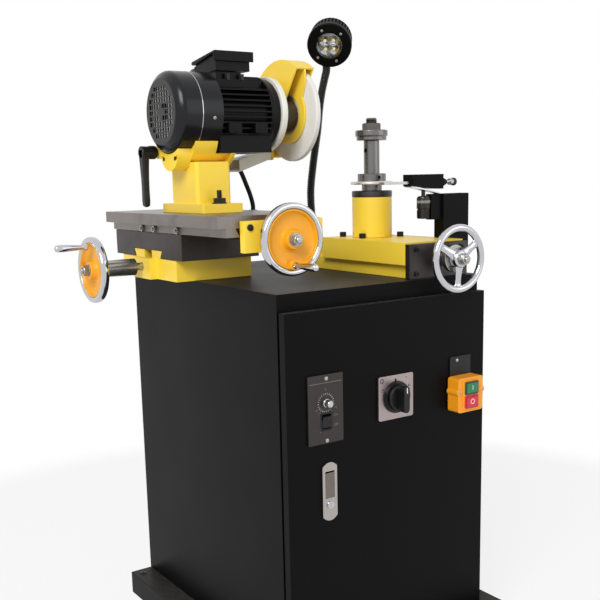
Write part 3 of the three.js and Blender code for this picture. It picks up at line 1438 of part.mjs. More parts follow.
function lamp() {
  const foot = turned('z', [
    [0, slideFloor], [lampFootRadius, slideFloor], [lampFootRadius, slideFloor + lampFootHeight / 2],
    [neckRadius * 1.6, slideFloor + lampFootHeight - bevel / 2],
    [neckRadius * 1.6, slideFloor + lampFootHeight],
    [0, slideFloor + lampFootHeight],
  ], 24).translate(lampX, lampY, 0);
  part('lamp_foot', foot, blackPaint);

  // The neck stops short of the pivot, where the head's pin lies across its end
  const foothold = new THREE.Vector3(lampX, lampY, slideFloor + lampFootHeight + seat);
  const route = neckShares.map((p) => new THREE.Vector3(...p).multiplyScalar(neckRise).add(foothold));
  const pivot = route.pop();
  const last = route[route.length - 1];
  const reach = last.distanceTo(pivot);
  route.push(last.clone().lerp(pivot, (reach - lampPivotRadius - seat) / reach));
  part('lamp_neck', pipe(route.map((p) => p.toArray()), neckRadius, neckSides, 22), blackPlastic);

  const group = new THREE.Group();
  group.position.copy(pivot);
  group.rotation.order = 'ZXY';
  group.rotation.z = THREE.MathUtils.degToRad(lampYaw);
  group.rotation.x = THREE.MathUtils.degToRad(lampPitch);
  machine.add(group);

  // The head faces -Y of its own group, above the pivot
  const face = -lampForward;
  const back = face + lampHeadDepth;
  const profile = [
    [0, face + lampLensDepth * 2], [lampLensRadius + seat, face + lampLensDepth * 2],
    [lampLensRadius + seat, face],
    [lampHeadRadius - bevel, face], [lampHeadRadius, face + bevel],
    [lampHeadRadius, face + lampHeadDepth / 3],
  ];
  const finStart = face + lampHeadDepth / 3;
  const finPace = (back - finStart) / (lampFins * 2);
  for (let i = 0; i < lampFins; i += 1) {
    const radius = THREE.MathUtils.lerp(lampHeadRadius, lampBackRadius, (i + 1) / lampFins);
    const z = finStart + finPace * (i * 2 + 1);
    profile.push(
      [radius - lampFinDepth, z - finPace], [radius - lampFinDepth, z], [radius, z], [radius, z + finPace],
    );
  }
  profile.push([0, back]);
  const shade = turned('y', profile, 24).translate(0, 0, lampUp);
  const [halfThickness, halfWidth] = [lampEarThickness / 2, lampEarWidth / 2];
  const ear = block(-halfThickness, halfThickness, -halfWidth, halfWidth, 0, lampUp / 2);
  const pin = rod('x', lampPivotRadius, -neckRadius, neckRadius, 20);
  part('lamp_head', join(shade, ear, pin), blackPaint, [0, 0, 0], group);
  const lens = rod(
    'y', lampLensRadius, face + seat, face + lampLensDepth * 2 - seat, 24,
  ).translate(0, 0, lampUp);
  part('lamp_lens', lens, clearPlastic, [0, 0, 0], group);
}

baseAndCabinet();
hinges();
doorPanel();
selectorSwitch();
speedControl();
startStopSwitch();
doorLock();
crossSlide();
slideHandwheels();
grindingColumn();
cradle();
motorBody();
fanCover();
terminalBox();
spindle();
wheelGuard();
motorCord();
arborSlide();
arbor();
stopFinger();
lamp();

export default machine;
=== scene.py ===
import json
import math
import bpy
import bmesh
import numpy as np
from mathutils import Matrix, Vector

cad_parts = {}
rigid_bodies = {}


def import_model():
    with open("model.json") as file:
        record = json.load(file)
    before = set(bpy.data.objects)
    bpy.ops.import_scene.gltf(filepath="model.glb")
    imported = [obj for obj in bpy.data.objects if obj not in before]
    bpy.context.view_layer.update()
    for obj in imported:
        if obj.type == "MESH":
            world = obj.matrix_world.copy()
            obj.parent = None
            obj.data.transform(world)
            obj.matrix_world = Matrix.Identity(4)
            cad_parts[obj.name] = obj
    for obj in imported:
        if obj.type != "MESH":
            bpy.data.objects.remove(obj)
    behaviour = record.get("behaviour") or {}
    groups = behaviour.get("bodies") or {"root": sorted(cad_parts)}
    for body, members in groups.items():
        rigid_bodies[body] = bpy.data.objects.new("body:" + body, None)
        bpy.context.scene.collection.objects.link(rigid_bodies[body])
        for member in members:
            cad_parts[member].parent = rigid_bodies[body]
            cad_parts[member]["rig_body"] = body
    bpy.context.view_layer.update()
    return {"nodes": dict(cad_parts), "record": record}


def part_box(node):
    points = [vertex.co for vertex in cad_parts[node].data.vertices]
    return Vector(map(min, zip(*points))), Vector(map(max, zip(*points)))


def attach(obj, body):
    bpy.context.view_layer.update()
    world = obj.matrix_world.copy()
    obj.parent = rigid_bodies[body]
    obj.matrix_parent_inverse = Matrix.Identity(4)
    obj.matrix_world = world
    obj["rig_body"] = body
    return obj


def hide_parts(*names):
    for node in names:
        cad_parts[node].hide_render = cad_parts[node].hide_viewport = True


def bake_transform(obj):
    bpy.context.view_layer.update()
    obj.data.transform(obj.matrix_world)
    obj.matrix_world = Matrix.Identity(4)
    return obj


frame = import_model()
nodes = frame["nodes"]
slotOf = {row["node"]: row["material_slot"] for row in frame["record"]["subparts"]}
scene = bpy.context.scene
print("frame loaded", len(nodes), "nodes")


# Sockets as Python values
class Wire:
    def __init__(self, graph, socket):
        self.graph = graph
        self.socket = socket

    def math(self, operation, first, second=None, clamp=False):
        values = {0: first} if second is None else {0: first, 1: second}
        return self.graph.add("ShaderNodeMath", {"operation": operation, "use_clamp": clamp}, values)

    def __add__(self, other): return self.math("ADD", self, other)
    def __radd__(self, other): return self.math("ADD", other, self)
    def __sub__(self, other): return self.math("SUBTRACT", self, other)
    def __rsub__(self, other): return self.math("SUBTRACT", other, self)
    def __mul__(self, other): return self.math("MULTIPLY", self, other)
    def __rmul__(self, other): return self.math("MULTIPLY", other, self)
    def __truediv__(self, other): return self.math("DIVIDE", self, other)
    def __rtruediv__(self, other): return self.math("DIVIDE", other, self)
    def __gt__(self, other): return self.math("GREATER_THAN", self, other)
    def __lt__(self, other): return self.math("LESS_THAN", self, other)
    def root(self): return self.math("SQRT", self)
    def clamped(self): return self.math("ADD", self, 0.0, True)
    def most(self, other): return self.math("MAXIMUM", self, other)


class Graph:
    def __init__(self, tree):
        self.tree = tree
        tree.nodes.clear()

    def add(self, kind, settings=None, inputs=None, out=0):
        node = self.tree.nodes.new(kind)
        for key, value in (settings or {}).items():
            setattr(node, key, value)
        for key, value in (inputs or {}).items():
            for one in value if isinstance(value, list) else [value]:
                if isinstance(one, Wire):
                    self.tree.links.new(one.socket, node.inputs[key])
                else:
                    node.inputs[key].default_value = one
        return Wire(self, node.outputs[out]) if len(node.outputs) else None

    def geo(self, kind, inputs):
        return self.add("GeometryNode" + kind, {}, inputs)

    def cut(self, operation, inputs):
        return self.add("GeometryNodeMeshBoolean", {"operation": operation, "solver": "EXACT"}, inputs)

    def parts(self, vector):
        node = self.tree.nodes.new("ShaderNodeSeparateXYZ")
        self.tree.links.new(vector.socket, node.inputs[0])
        return [Wire(self, socket) for socket in node.outputs]

    def vector(self, x, y, z):
        return self.add("ShaderNodeCombineXYZ", {}, {0: x, 1: y, 2: z})

    def noise(self, vector, scale, detail=2.0, rough=0.5):
        values = {"Vector": vector, "Scale": scale, "Detail": detail, "Roughness": rough}
        return self.add("ShaderNodeTexNoise", {}, values)

    def blend(self, factor, first, second):
        return self.add("ShaderNodeMix", {"data_type": "RGBA"}, {0: factor, 6: first, 7: second}, out=2)


def screenColour(red, green, blue):
    linear = [v / 12.92 if v <= 0.04045 else ((v + 0.055) / 1.055) ** 2.4
              for v in (red / 255, green / 255, blue / 255)]
    return (*linear, 1)


# A material from a recipe that returns what changes over the surface, and the values that don't
def finish(name, recipe, **fixed):
    material = bpy.data.materials.new(name)
    material.use_nodes = True
    g = Graph(material.node_tree)
    place = g.add("ShaderNodeTexCoord", out=3)
    varying = recipe(g, place)
    bump = varying.pop("bump", None)
    values = {key.replace("_", " "): value for key, value in fixed.items()}
    values.update(varying)
    if bump:
        height, strength, distance = bump
        values["Normal"] = g.add("ShaderNodeBump", {}, {"Strength": strength, "Distance": distance,
                "Height": height})
    shader = g.add("ShaderNodeBsdfPrincipled", {}, values)
    g.add("ShaderNodeOutputMaterial", {}, {"Surface": shader})
    return material


def shade(colour, share):
    return (*[c * share for c in colour[:3]], 1)


# Sprayed enamel: orange peel, faint clouds, and a painted sheen, pale grey in specks, on the faces that look
# up
def enamel(name, colour, rough, peel=0.12, topSheen=0.1, **fixed):
    def recipe(g, place):
        clouds = g.noise(place, 9.0, 3.0)
        grain = g.noise(place, 700.0, 2.0)
        upward = g.parts(g.add("ShaderNodeNewGeometry", out=1))[2]
        specks = g.noise(place, 160.0, 4.0)
        # Up-facing faces are blended toward pale grey in specks, with a little more roughness: a painted
        # sheen of the light from above
        sheenFilm = ((upward - 0.7) * 3.0).clamped() * (specks * clouds * 2.0).clamped() * topSheen
        tone = g.blend((clouds - 0.3).clamped(), shade(colour, 0.96), shade(colour, 1.04))
        sheenedTone = g.blend(sheenFilm, tone, screenColour(170, 165, 158))
        return {"Base Color": sheenedTone, "Roughness": clouds * 0.12 + sheenFilm * 0.5 + (rough - 0.06),
                "bump": (grain, peel, 0.0002)}
    return finish(name, recipe, **fixed)


# Moulded plastic with a fine spark texture
def moulded(name, colour, rough, grainScale=1500.0, depth=0.12, **fixed):
    def recipe(g, place):
        clouds = g.noise(place, 14.0, 2.0)
        grain = g.noise(place, grainScale, 2.0)
        tone = g.blend(clouds, shade(colour, 0.94), shade(colour, 1.06))
        return {"Base Color": tone, "Roughness": clouds * 0.1 + grain * 0.06 + (rough - 0.08),
                "bump": (grain, depth, 0.0001)}
    return finish(name, recipe, **fixed)


# Steel from a lathe: fine rings that follow the distance along the axis and out from it
def turnedSteel(name, colour, rough, axis="z", centre=(0, 0, 0), lines=900.0, depth=0.2, stain=0.0):
    def recipe(g, place):
        local = g.add("ShaderNodeMapping", {}, {"Vector": place,
                "Location": tuple(-c * 0.001 for c in centre)})
        x, y, z = g.parts(local)
        along, a, b = {"x": (x, y, z), "y": (y, x, z), "z": (z, x, y)}[axis]
        ring = (a * a + b * b).root() + along
        rings = g.noise(g.vector(ring, 0.0, 0.0), lines, 4.0, 0.65)
        spots = g.noise(place, 60.0, 5.0, 0.6)
        dull = ((spots - 0.5) * 3.0).clamped() * stain
        tone = g.blend(rings, shade(colour, 0.82), shade(colour, 1.15))
        stained = g.blend(dull, tone, shade(colour, 0.45))
        return {"Base Color": stained, "Roughness": rings * 0.14 + dull * 0.25 + (rough - 0.07),
                "bump": (rings, depth, 0.0001)}
    return finish(name, recipe, Metallic=1.0)


# Ground or brushed metal: streaks along one axis
def brushed(name, colour, rough, axis="x", lines=1400.0, depth=0.12, stain=0.25, metallic=1.0, **fixed):
    def recipe(g, place):
        stretch = [1.0, 1.0, 1.0]
        stretch["xyz".index(axis)] = 0.02
        streaks = g.noise(g.add("ShaderNodeMapping", {}, {"Vector": place, "Scale": tuple(stretch)}), lines,
                          3.0, 0.6)
        spots = g.noise(place, 22.0, 5.0, 0.62)
        oil = ((spots - 0.48) * 4.0).clamped() * stain
        tone = g.blend(streaks, shade(colour, 0.82), shade(colour, 1.16))
        stained = g.blend(oil, tone, shade(colour, 0.55))
        return {"Base Color": stained, "Roughness": streaks * 0.16 + oil * 0.12 + (rough - 0.08),
                "bump": (streaks, depth, 0.0001)}
    return finish(name, recipe, Metallic=metallic, **fixed)


def polished(name, colour, rough=0.09):
    def recipe(g, place):
        smears = g.noise(place, 40.0, 4.0, 0.6)
        fine = g.noise(place, 600.0, 2.0)
        tone = g.blend(smears, shade(colour, 0.95), colour)
        return {"Base Color": tone, "Roughness": smears * 0.1 + (rough - 0.04), "bump": (fine, 0.02, 0.0001)}
    return finish(name, recipe, Metallic=1.0)


# Pressed abrasive: white grains with open pores
def abrasive(name, colour):
    def recipe(g, place):
        grains = g.add("ShaderNodeTexVoronoi", {}, {"Vector": place, "Scale": 1400.0}, out=0)
        clouds = g.noise(place, 35.0, 4.0)
        tone = g.blend(grains * 0.6 + clouds * 0.3, colour, shade(colour, 0.72))
        return {"Base Color": tone, "Roughness": clouds * 0.1 + 0.82,
                "bump": (grains + clouds * 0.3, 0.4, 0.0004)}
    return finish(name, recipe)


def rubberCord(name, colour):
    def recipe(g, place):
        bands = g.noise(place, 300.0, 3.0)
        tone = g.blend(bands, shade(colour, 0.8), shade(colour, 1.3))
        return {"Base Color": tone, "Roughness": bands * 0.15 + 0.5, "bump": (bands, 0.1, 0.0002)}
    return finish(name, recipe, **{"Specular IOR Level": 0.3})


def clearLens(name):
    def recipe(g, place):
        haze = g.noise(place, 90.0, 3.0)
        return {"Base Color": g.blend(haze, (0.95, 0.97, 1.0, 1), (0.86, 0.9, 0.94, 1)),
                "Roughness": haze * 0.06 + 0.03}
    return finish(name, recipe, **{"Transmission Weight": 1.0, "IOR": 1.45})


def glowing(name, colour, strength):
    def recipe(g, place):
        dots = g.add("ShaderNodeTexVoronoi", {}, {"Vector": place, "Scale": 900.0}, out=0)
        tone = g.blend(dots, colour, shade(colour, 0.6))
        return {"Base Color": tone, "Emission Color": tone, "Roughness": dots * 0.1 + 0.25}
    return finish(name, recipe, **{"Emission Strength": strength})


tones = {
    "yellow": screenColour(254, 218, 66),
    "black": screenColour(9, 9, 10),
    "iron": screenColour(128, 121, 117),
    "darkIron": screenColour(70, 66, 64),
    "steel": screenColour(172, 170, 167),
    "blackened": screenColour(74, 71, 69),
    "bright": screenColour(196, 196, 200),
    "plate": screenColour(168, 156, 154),
    "ivory": screenColour(232, 229, 222),
    "stone": screenColour(244, 242, 238),
    "green": screenColour(32, 118, 76),
    "red": screenColour(205, 38, 62),
    "orange": screenColour(244, 158, 26),
}
quiet = {"Specular IOR Level": 0.07}
yellowPaint = enamel("yellowPaint", tones["yellow"], 0.36, topSheen=0.12)
blackPaint = enamel("blackPaint", tones["black"], 0.42, 0.2, 0.16, **quiet)
motorPaint = enamel("motorPaint", tones["black"], 0.34, 0.16, 0.06, **{"Specular IOR Level": 0.12})
lightPaint = enamel("lightPaint", tones["ivory"], 0.4)
blackPlastic = moulded("blackPlastic", tones["black"], 0.4, **{"Specular IOR Level": 0.35})
greenPlastic = moulded("greenPlastic", tones["green"], 0.34)
redPlastic = moulded("redPlastic", tones["red"], 0.34)
orangePlastic = moulded("orangePlastic", tones["orange"], 0.36)
whitePrint = moulded("whitePrint", tones["ivory"], 0.6)
redPrint = moulded("redPrint", tones["red"], 0.5)
tableIron = brushed("tableIron", tones["iron"], 0.36, "y", 1500.0, 0.12, 0.5, 0.85)
saddleIron = brushed("saddleIron", tones["darkIron"], 0.42, "x", 1200.0, 0.12, 0.5, 0.85)
satinPlate = brushed("satinPlate", tones["plate"], 0.34, "z", 1600.0, 0.06, 0.1)
lockSteel = brushed("lockSteel", screenColour(176, 170, 165), 0.26, "z", 1700.0, 0.05, 0.1)
darkPlate = brushed("darkPlate", tones["blackened"], 0.4, "x", 1300.0, 0.08, 0.25)
speedPlate = brushed("speedPlate", screenColour(60, 56, 54), 0.38, "z", 1500.0, 0.05, 0.2, 0.7)
panelSteel = brushed("panelSteel", tones["steel"], 0.4, "z", 900.0, 0.08, 0.2)
blackScrews = moulded("blackScrews", screenColour(34, 33, 33), 0.34, 900.0, 0.1, Metallic=0.6)
chrome = polished("chrome", tones["bright"])
wheelPaint = enamel("wheelPaint", screenColour(240, 168, 26), 0.38, topSheen=0.1)
whiteStone = abrasive("whiteStone", tones["stone"])
cordRubber = rubberCord("cordRubber", tones["black"])
lensGlass = clearLens("lensGlass")
ledGlow = glowing("ledGlow", (1.0, 0.86, 0.45, 1), 0.6)
print("materials made", len(bpy.data.materials))


# Shapes are (places in millimetres, faces). Cutters overrun what they cut, and pieces keep the CAD's gap
toMetres = Matrix.Scale(0.001, 4)
overrun = 4
cadGap = 0.3


def onAxis(axis, u, v, along):
    return {"x": (along, u, v), "y": (u, along, v), "z": (u, v, along)}[axis]


def turned(profile, axis="z", at=(0, 0, 0), sides=96):
    rings = list(profile)
    looped = rings[0][0] > 0
    if looped and tuple(rings[0]) == tuple(rings[-1]):
        rings.pop()
    places, rows, faces = [], [], []
    for radius, along in rings:
        count = sides if radius > 0 else 1
        rows.append(list(range(len(places), len(places) + count)))
        for i in range(count):
            angle = 2 * math.pi * i / sides
            spot = onAxis(axis, radius * math.cos(angle), radius * math.sin(angle), along)
            places.append(tuple(s + a for s, a in zip(spot, at)))
    pairs = list(zip(rows, rows[1:])) + ([(rows[-1], rows[0])] if looped else [])
    for low, high in pairs:
        for i in range(sides):
            k = (i + 1) % sides
            corners = (low[i % len(low)], low[k % len(low)], high[k % len(high)], high[i % len(high)])
            corners = tuple(dict.fromkeys(corners))
            if len(corners) > 2:
                faces.append(corners)
    return places, faces


def rod(axis, radius, start, end, at=(0, 0, 0), sides=64):
    return turned([(0, start), (radius, start), (radius, end), (0, end)], axis, at, sides)


def pipe(axis, outer, inner, start, end, at=(0, 0, 0), sides=96):
    return turned([(inner, start), (outer, start), (outer, end), (inner, end)], axis, at, sides)


def extruded(outline, axis, start, end, at=(0, 0, 0)):
    places = [tuple(s + a for s, a in zip(onAxis(axis, u, v, along), at)) for along in (start, end) for u,
              v in outline]
    n = len(outline)
    faces = [tuple(range(n)), tuple(range(2 * n - 1, n - 1, -1))]
    faces += [(i, (i + 1) % n, (i + 1) % n + n, i + n) for i in range(n)]
    return places, faces


def block(x0, x1, y0, y1, z0, z1):
    return extruded([(x0, y0), (x1, y0), (x1, y1), (x0, y1)], "z", z0, z1)


def roundedRect(width, height, radius, centre=(0, 0), steps=6):
    outline = []
    for cornerX, cornerY, first in ((1, 1, 0), (-1, 1, 90), (-1, -1, 180), (1, -1, 270)):
        for i in range(steps + 1):
            angle = math.radians(first + 90 * i / steps)
            u = cornerX * (width / 2 - radius) + radius * math.cos(angle)
            v = cornerY * (height / 2 - radius) + radius * math.sin(angle)
            outline.append((centre[0] + u, centre[1] + v))
    return outline


def hexagon(flats, turn=0.0):
    corner = flats / 2 / math.cos(math.pi / 6)
    return [(corner * math.cos(math.radians(60 * i + turn)), corner * math.sin(math.radians(60 * i + turn)))
            for i in range(6)]


def curveThrough(points, steps=12):
    ends = [np.subtract(np.multiply(points[0], 2), points[1])] + [np.array(p, float) for p in points]
    ends.append(np.subtract(np.multiply(points[-1], 2), points[-2]))
    line = []
    for i in range(1, len(ends) - 2):
        a, b, c, d = ends[i - 1:i + 3]
        for k in range(steps):
            t = k / steps
            square, cube = 2 * a - 5 * b + 4 * c - d, 3 * b - a - 3 * c + d
            line.append(0.5 * (2 * b + (c - a) * t + square * t * t + cube * t ** 3))
    return line + [ends[-2]]


# A closed skin over rings of places, with a cap at each end
def skinned(rings):
    n, last = len(rings[0]), len(rings) - 1
    faces = [(i * n + k, i * n + (k + 1) % n, (i + 1) * n + (k + 1) % n, (i + 1) * n + k) for i in range(last)
             for k in range(n)]
    faces += [tuple(range(n))[::-1], tuple(last * n + k for k in range(n))]
    return [place for ring in rings for place in ring], faces


# The value at a share of the way along a list
def between(values, share):
    spot = share * (len(values) - 1)
    low = min(int(spot), len(values) - 2)
    return values[low] + (values[low + 1] - values[low]) * (spot - low)


def swept(line, radii, sides=24):
    rings = []
    line = [Vector(p) for p in line]
    side = None
    for i, spot in enumerate(line):
        ahead = (line[min(i + 1, len(line) - 1)] - line[max(i - 1, 0)]).normalized()
        side = (ahead.orthogonal() if side is None else side - ahead * side.dot(ahead)).normalized()
        other = ahead.cross(side)
        radius = radii[i] if isinstance(radii, (list, tuple)) else radii
        angles = [2 * math.pi * k / sides for k in range(sides)]
        rings.append([tuple(spot + (side * math.cos(a) + other * math.sin(a)) * radius) for a in angles])
    return skinned(rings)


def changed(shape, matrix):
    return [tuple(matrix @ Vector(p)) for p in shape[0]], shape[1]


def moved(shape, x=0, y=0, z=0):
    return changed(shape, Matrix.Translation((x, y, z)))


def spun(shape, axis, degrees, about=(0, 0, 0)):
    there = Matrix.Translation(about)
    return changed(shape, there @ Matrix.Rotation(math.radians(degrees), 4, axis.upper()) @ there.inverted())


def meshOf(name, shapes):
    places, faces = [], []
    for shapePlaces, shapeFaces in shapes:
        faces += [tuple(i + len(places) for i in face) for face in shapeFaces]
        places += list(shapePlaces)
    mesh = bpy.data.meshes.new(name)
    mesh.from_pydata([tuple(p) for p in places], [], faces)
    bm = bmesh.new()
    bm.from_mesh(mesh)
    bmesh.ops.recalc_face_normals(bm, faces=bm.faces)
    bm.to_mesh(mesh)
    bm.free()
    obj = bpy.data.objects.new(name, mesh)
    scene.collection.objects.link(obj)
    return obj


def settled(obj):
    graph = bpy.context.evaluated_depsgraph_get()
    mesh = bpy.data.meshes.new_from_object(obj.evaluated_get(graph))
    obj.modifiers.clear()
    obj.data = mesh
    return obj


def shapeOf(obj):
    shape = ([tuple(v.co) for v in obj.data.vertices], [tuple(p.vertices) for p in obj.data.polygons])
    bpy.data.objects.remove(obj)
    return shape


def combined(shape, others, operation="DIFFERENCE"):
    body = meshOf("blank", [shape])
    tools = [meshOf("tool", [other]) for other in others]
    for tool in tools:
        modifier = body.modifiers.new("cut", "BOOLEAN")
        modifier.object = tool
        modifier.operation = operation
        modifier.solver = "EXACT"
    settled(body)
    for tool in tools:
        bpy.data.objects.remove(tool)
    return shapeOf(body)


def carved(shape, *cutters):
    return combined(shape, cutters)


def fused(shape, *others):
    return combined(shape, others, "UNION")


# A CAD node's own shape, merged and with its flat triangles joined
def fromCad(name):
    bm = bmesh.new()
    bm.from_mesh(nodes[name].data)
    bmesh.ops.scale(bm, vec=(1000, 1000, 1000), verts=bm.verts)
    bmesh.ops.remove_doubles(bm, verts=bm.verts, dist=0.003)
    bmesh.ops.dissolve_limit(bm, angle_limit=math.radians(0.6), verts=bm.verts, edges=bm.edges)
    shape = ([tuple(v.co) for v in bm.verts], [tuple(v.index for v in f.verts) for f in bm.faces])
    bm.free()
    return shape


# A CAD node's corners in millimetres, and its middle as seen from above
def spanOf(name):
    return [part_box(name)[i] * 1000 for i in (0, 1)]


def middleOf(name):
    low, high = spanOf(name)
    return (low[0] + high[0]) / 2, (low[1] + high[1]) / 2


# Edges are rounded where faces meet at more than this angle, in degrees
sharpest = 30


# Rounds the edges, smooths the rest, and hands the piece over to its body
def piece(name, shapes, material, *stands, body=None, slot=None, edge=0.5, rounds=2, sharp=31):
    obj = meshOf(name, shapes)
    if edge:
        modifier = obj.modifiers.new("edges", "BEVEL")
        modifier.width = edge
        modifier.segments = rounds
        modifier.limit_method = "ANGLE"
        modifier.angle_limit = math.radians(sharpest)
        modifier.harden_normals = False
        settled(obj)
    obj.data.transform(toMetres)
    return handOver(obj, material, *stands, body=body, slot=slot, sharp=sharp)


def handOver(obj, material, *stands, body=None, slot=None, sharp=31):
    obj.data.shade_smooth()
    obj.data.set_sharp_from_angle(angle=math.radians(sharp))
    weighted = obj.modifiers.new("weights", "WEIGHTED_NORMAL")
    weighted.keep_sharp = True
    settled(obj)
    obj.data.materials.clear()
    obj.data.materials.append(material)
    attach(obj, body or nodes[stands[0]]["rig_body"])
    if stands:
        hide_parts(*stands)
    return obj


# The photograph's camera: a level turn, a tilt down and a small roll
photoView = {"place": (-0.8204, -1.2064, 0.7212), "turn": -34.14, "down": 10.45, "roll": 1.28, "focal": 914.9,
             "rise": 45, "pixels": 600, "sensor": 36}


def makeCamera():
    turn, down, roll = (math.radians(photoView[key]) for key in ("turn", "down", "roll"))
    ahead = Vector((-math.sin(turn) * math.cos(down), math.cos(turn) * math.cos(down), -math.sin(down)))
    right = Vector((math.cos(turn), math.sin(turn), 0))
    below = ahead.cross(right)
    across = right * math.cos(roll) + below * math.sin(roll)
    under = below * math.cos(roll) - right * math.sin(roll)
    camera = bpy.data.objects.new("camera", bpy.data.cameras.new("camera"))
    scene.collection.objects.link(camera)
    matrix = Matrix((across, -under, -ahead)).transposed().to_4x4()
    matrix.translation = photoView["place"]
    camera.matrix_world = matrix
    camera.data.sensor_width = photoView["sensor"]
    camera.data.lens = photoView["focal"] / photoView["pixels"] * photoView["sensor"]
    camera.data.shift_y = photoView["rise"] / photoView["pixels"]
    scene.camera = camera


makeCamera()
print("camera placed")


# The motor's cord repeats the route of the CAD part
cordSizes = {
    "radius": 3.75, "steps": 8, "sides": 16,
    "route": [
        (-116, 103.6, 884), (-116, 116, 884), (-114, 127, 878), (-108, 132, 862), (-98, 132, 840),
              (-86, 130, 818),
        (-73, 127, 796), (-62, 123, 774), (-51, 118, 756), (-42, 114, 742), (-34, 112, 726), (-27, 112, 710),
        (-21, 112, 696), (-17, 112, 684), (-15, 112, 675), (-15, 112, 668.3),
    ],
}


def makeCord():
    line = curveThrough(cordSizes["route"], cordSizes["steps"])
    obj = meshOf("motorCord", [swept(line, cordSizes["radius"], cordSizes["sides"])])
    obj.data.transform(toMetres)
    obj.data.shade_smooth()
    obj.data.set_sharp_from_angle(angle=math.radians(40))
    obj.data.materials.append(cordRubber)
    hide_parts("motor_cord")
    path = [[c * 0.001 for c in p] for p in line]
    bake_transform(obj)


makeCord()


# Geometry Nodes trees for what repeats. Their lengths are millimetres, as the shapes' are
def newTree(name, sizes):
    tree = bpy.data.node_groups.new(name, "GeometryNodeTree")
    tree.interface.new_socket(name="Geometry", in_out="INPUT", socket_type="NodeSocketGeometry")
    for label, value in sizes.items():
        kind = "NodeSocketInt" if isinstance(value, int) else "NodeSocketFloat"
        tree.interface.new_socket(name=label, in_out="INPUT", socket_type=kind).default_value = value
    tree.interface.new_socket(name="Finish", in_out="INPUT", socket_type="NodeSocketMaterial")
    tree.interface.new_socket(name="Geometry", in_out="OUTPUT", socket_type="NodeSocketGeometry")
    g = Graph(tree)
    entry = tree.nodes.new("NodeGroupInput")
    return g, {socket.name: Wire(g, socket) for socket in entry.outputs if socket.name}


def closeTree(g, given, geometry):
    real = g.geo("RealizeInstances", {"Geometry": geometry})
    done = g.geo("SetMaterial", {"Geometry": real, "Material": given["Finish"]})
    g.add("NodeGroupOutput", {}, {0: done})
    return g.tree


def pointsOf(name, spots=((0, 0, 0),), facing=None):
    mesh = bpy.data.meshes.new(name)
    mesh.from_pydata([tuple(s) for s in spots], [], [])
    if facing:
        attribute = mesh.attributes.new("facing", "FLOAT_VECTOR", "POINT")
        for i, one in enumerate(facing):
            attribute.data[i].vector = one
    obj = bpy.data.objects.new(name, mesh)
    scene.collection.objects.link(obj)
    return obj


# Runs a tree on an object, sets it in place and hands it over as a plain mesh
def grown(obj, tree, sizes, material, body, slot, place=None, stands=(), sharp=31):
    modifier = obj.modifiers.new("grow", "NODES")
    modifier.node_group = tree
    for item in tree.interface.items_tree:
        if item.item_type == "SOCKET" and item.in_out == "INPUT" and item.name in sizes:
            modifier[item.identifier] = sizes[item.name]
        if item.item_type == "SOCKET" and item.name == "Finish":
            modifier[item.identifier] = material
    settled(obj)
    bm = bmesh.new()
    bm.from_mesh(obj.data)
    bmesh.ops.remove_doubles(bm, verts=bm.verts, dist=0.001)
    bmesh.ops.recalc_face_normals(bm, faces=bm.faces)
    bm.to_mesh(obj.data)
    bm.free()
    if place:
        obj.data.transform(place)
    obj.data.transform(toMetres)
    return handOver(obj, material, *stands, body=body, slot=slot, sharp=sharp)


def along(axis, at=(0, 0, 0)):
    turn = {"x": Matrix.Rotation(math.pi / 2, 4, "Y"), "y": Matrix.Rotation(-math.pi / 2, 4, "X"),
            "z": Matrix()}[axis]
    return Matrix.Translation(at) @ turn


# Screw heads with a hexagon recess, turned the way each point faces
def screwTree():
    g, given = newTree("screwHeads", {"Head radius": 4.0, "Head height": 4.0, "Recess": 2.2, "Dome": 0.02})
    low = g.geo("MeshCylinder", {"Vertices": 28, "Radius": given["Head radius"],
            "Depth": given["Head height"]})
    half = given["Head height"] * 0.5
    body = g.geo("Transform", {"Geometry": low, "Translation": g.vector(0.0, 0.0, half)})
    cap = g.geo("MeshUVSphere", {"Segments": 28, "Rings": 10, "Radius": given["Head radius"] * 0.985})
    flat = g.vector(1.0, 1.0, given["Dome"])
    dome = g.geo("Transform", {"Geometry": cap, "Translation": g.vector(0.0, 0.0,
            given["Head height"] - 0.02), "Scale": flat})
    solid = g.cut("UNION", {"Mesh 2": [body, dome]})
    pit = g.geo("MeshCylinder", {"Vertices": 6, "Radius": given["Recess"],
            "Depth": given["Head height"] * 1.3})
    sunk = g.geo("Transform", {"Geometry": pit, "Translation": g.vector(0.0, 0.0,
            given["Head height"] * 1.25)})
    head = g.cut("DIFFERENCE", {"Mesh 1": solid, "Mesh 2": sunk})
    facing = g.add("GeometryNodeInputNamedAttribute", {"data_type": "FLOAT_VECTOR"}, {"Name": "facing"})
    turn = g.add("FunctionNodeAlignRotationToVector", {"axis": "Z"}, {"Vector": facing})
    heads = g.geo("InstanceOnPoints", {"Points": given["Geometry"], "Instance": head, "Rotation": turn})
    return closeTree(g, given, heads)


# Short bars round a circle, with every so many one longer
def tickTree():
    g, given = newTree("tickRing", {"Count": 40, "Radius": 20.0, "Radial": 0.4, "Wide": 0.4, "Deep": 4.0,
            "Every": 5, "Longer": 1.5})
    circle = g.geo("MeshCircle", {"Vertices": given["Count"], "Radius": given["Radius"]})
    bar = g.geo("MeshCube", {"Size": g.vector(given["Radial"], given["Wide"], given["Deep"])})
    spot = g.add("GeometryNodeInputPosition")
    turn = g.add("FunctionNodeAlignRotationToVector", {"axis": "X"}, {"Vector": spot})
    index = g.add("GeometryNodeInputIndex")
    long = g.add("ShaderNodeMath", {"operation": "MODULO"}, {0: index, 1: given["Every"]}) < 0.5
    size = g.vector(1.0, 1.0, 1.0 + long * (given["Longer"] - 1.0))
    bars = g.geo("InstanceOnPoints", {"Points": circle, "Instance": bar, "Rotation": turn, "Scale": size})
    return closeTree(g, given, bars)


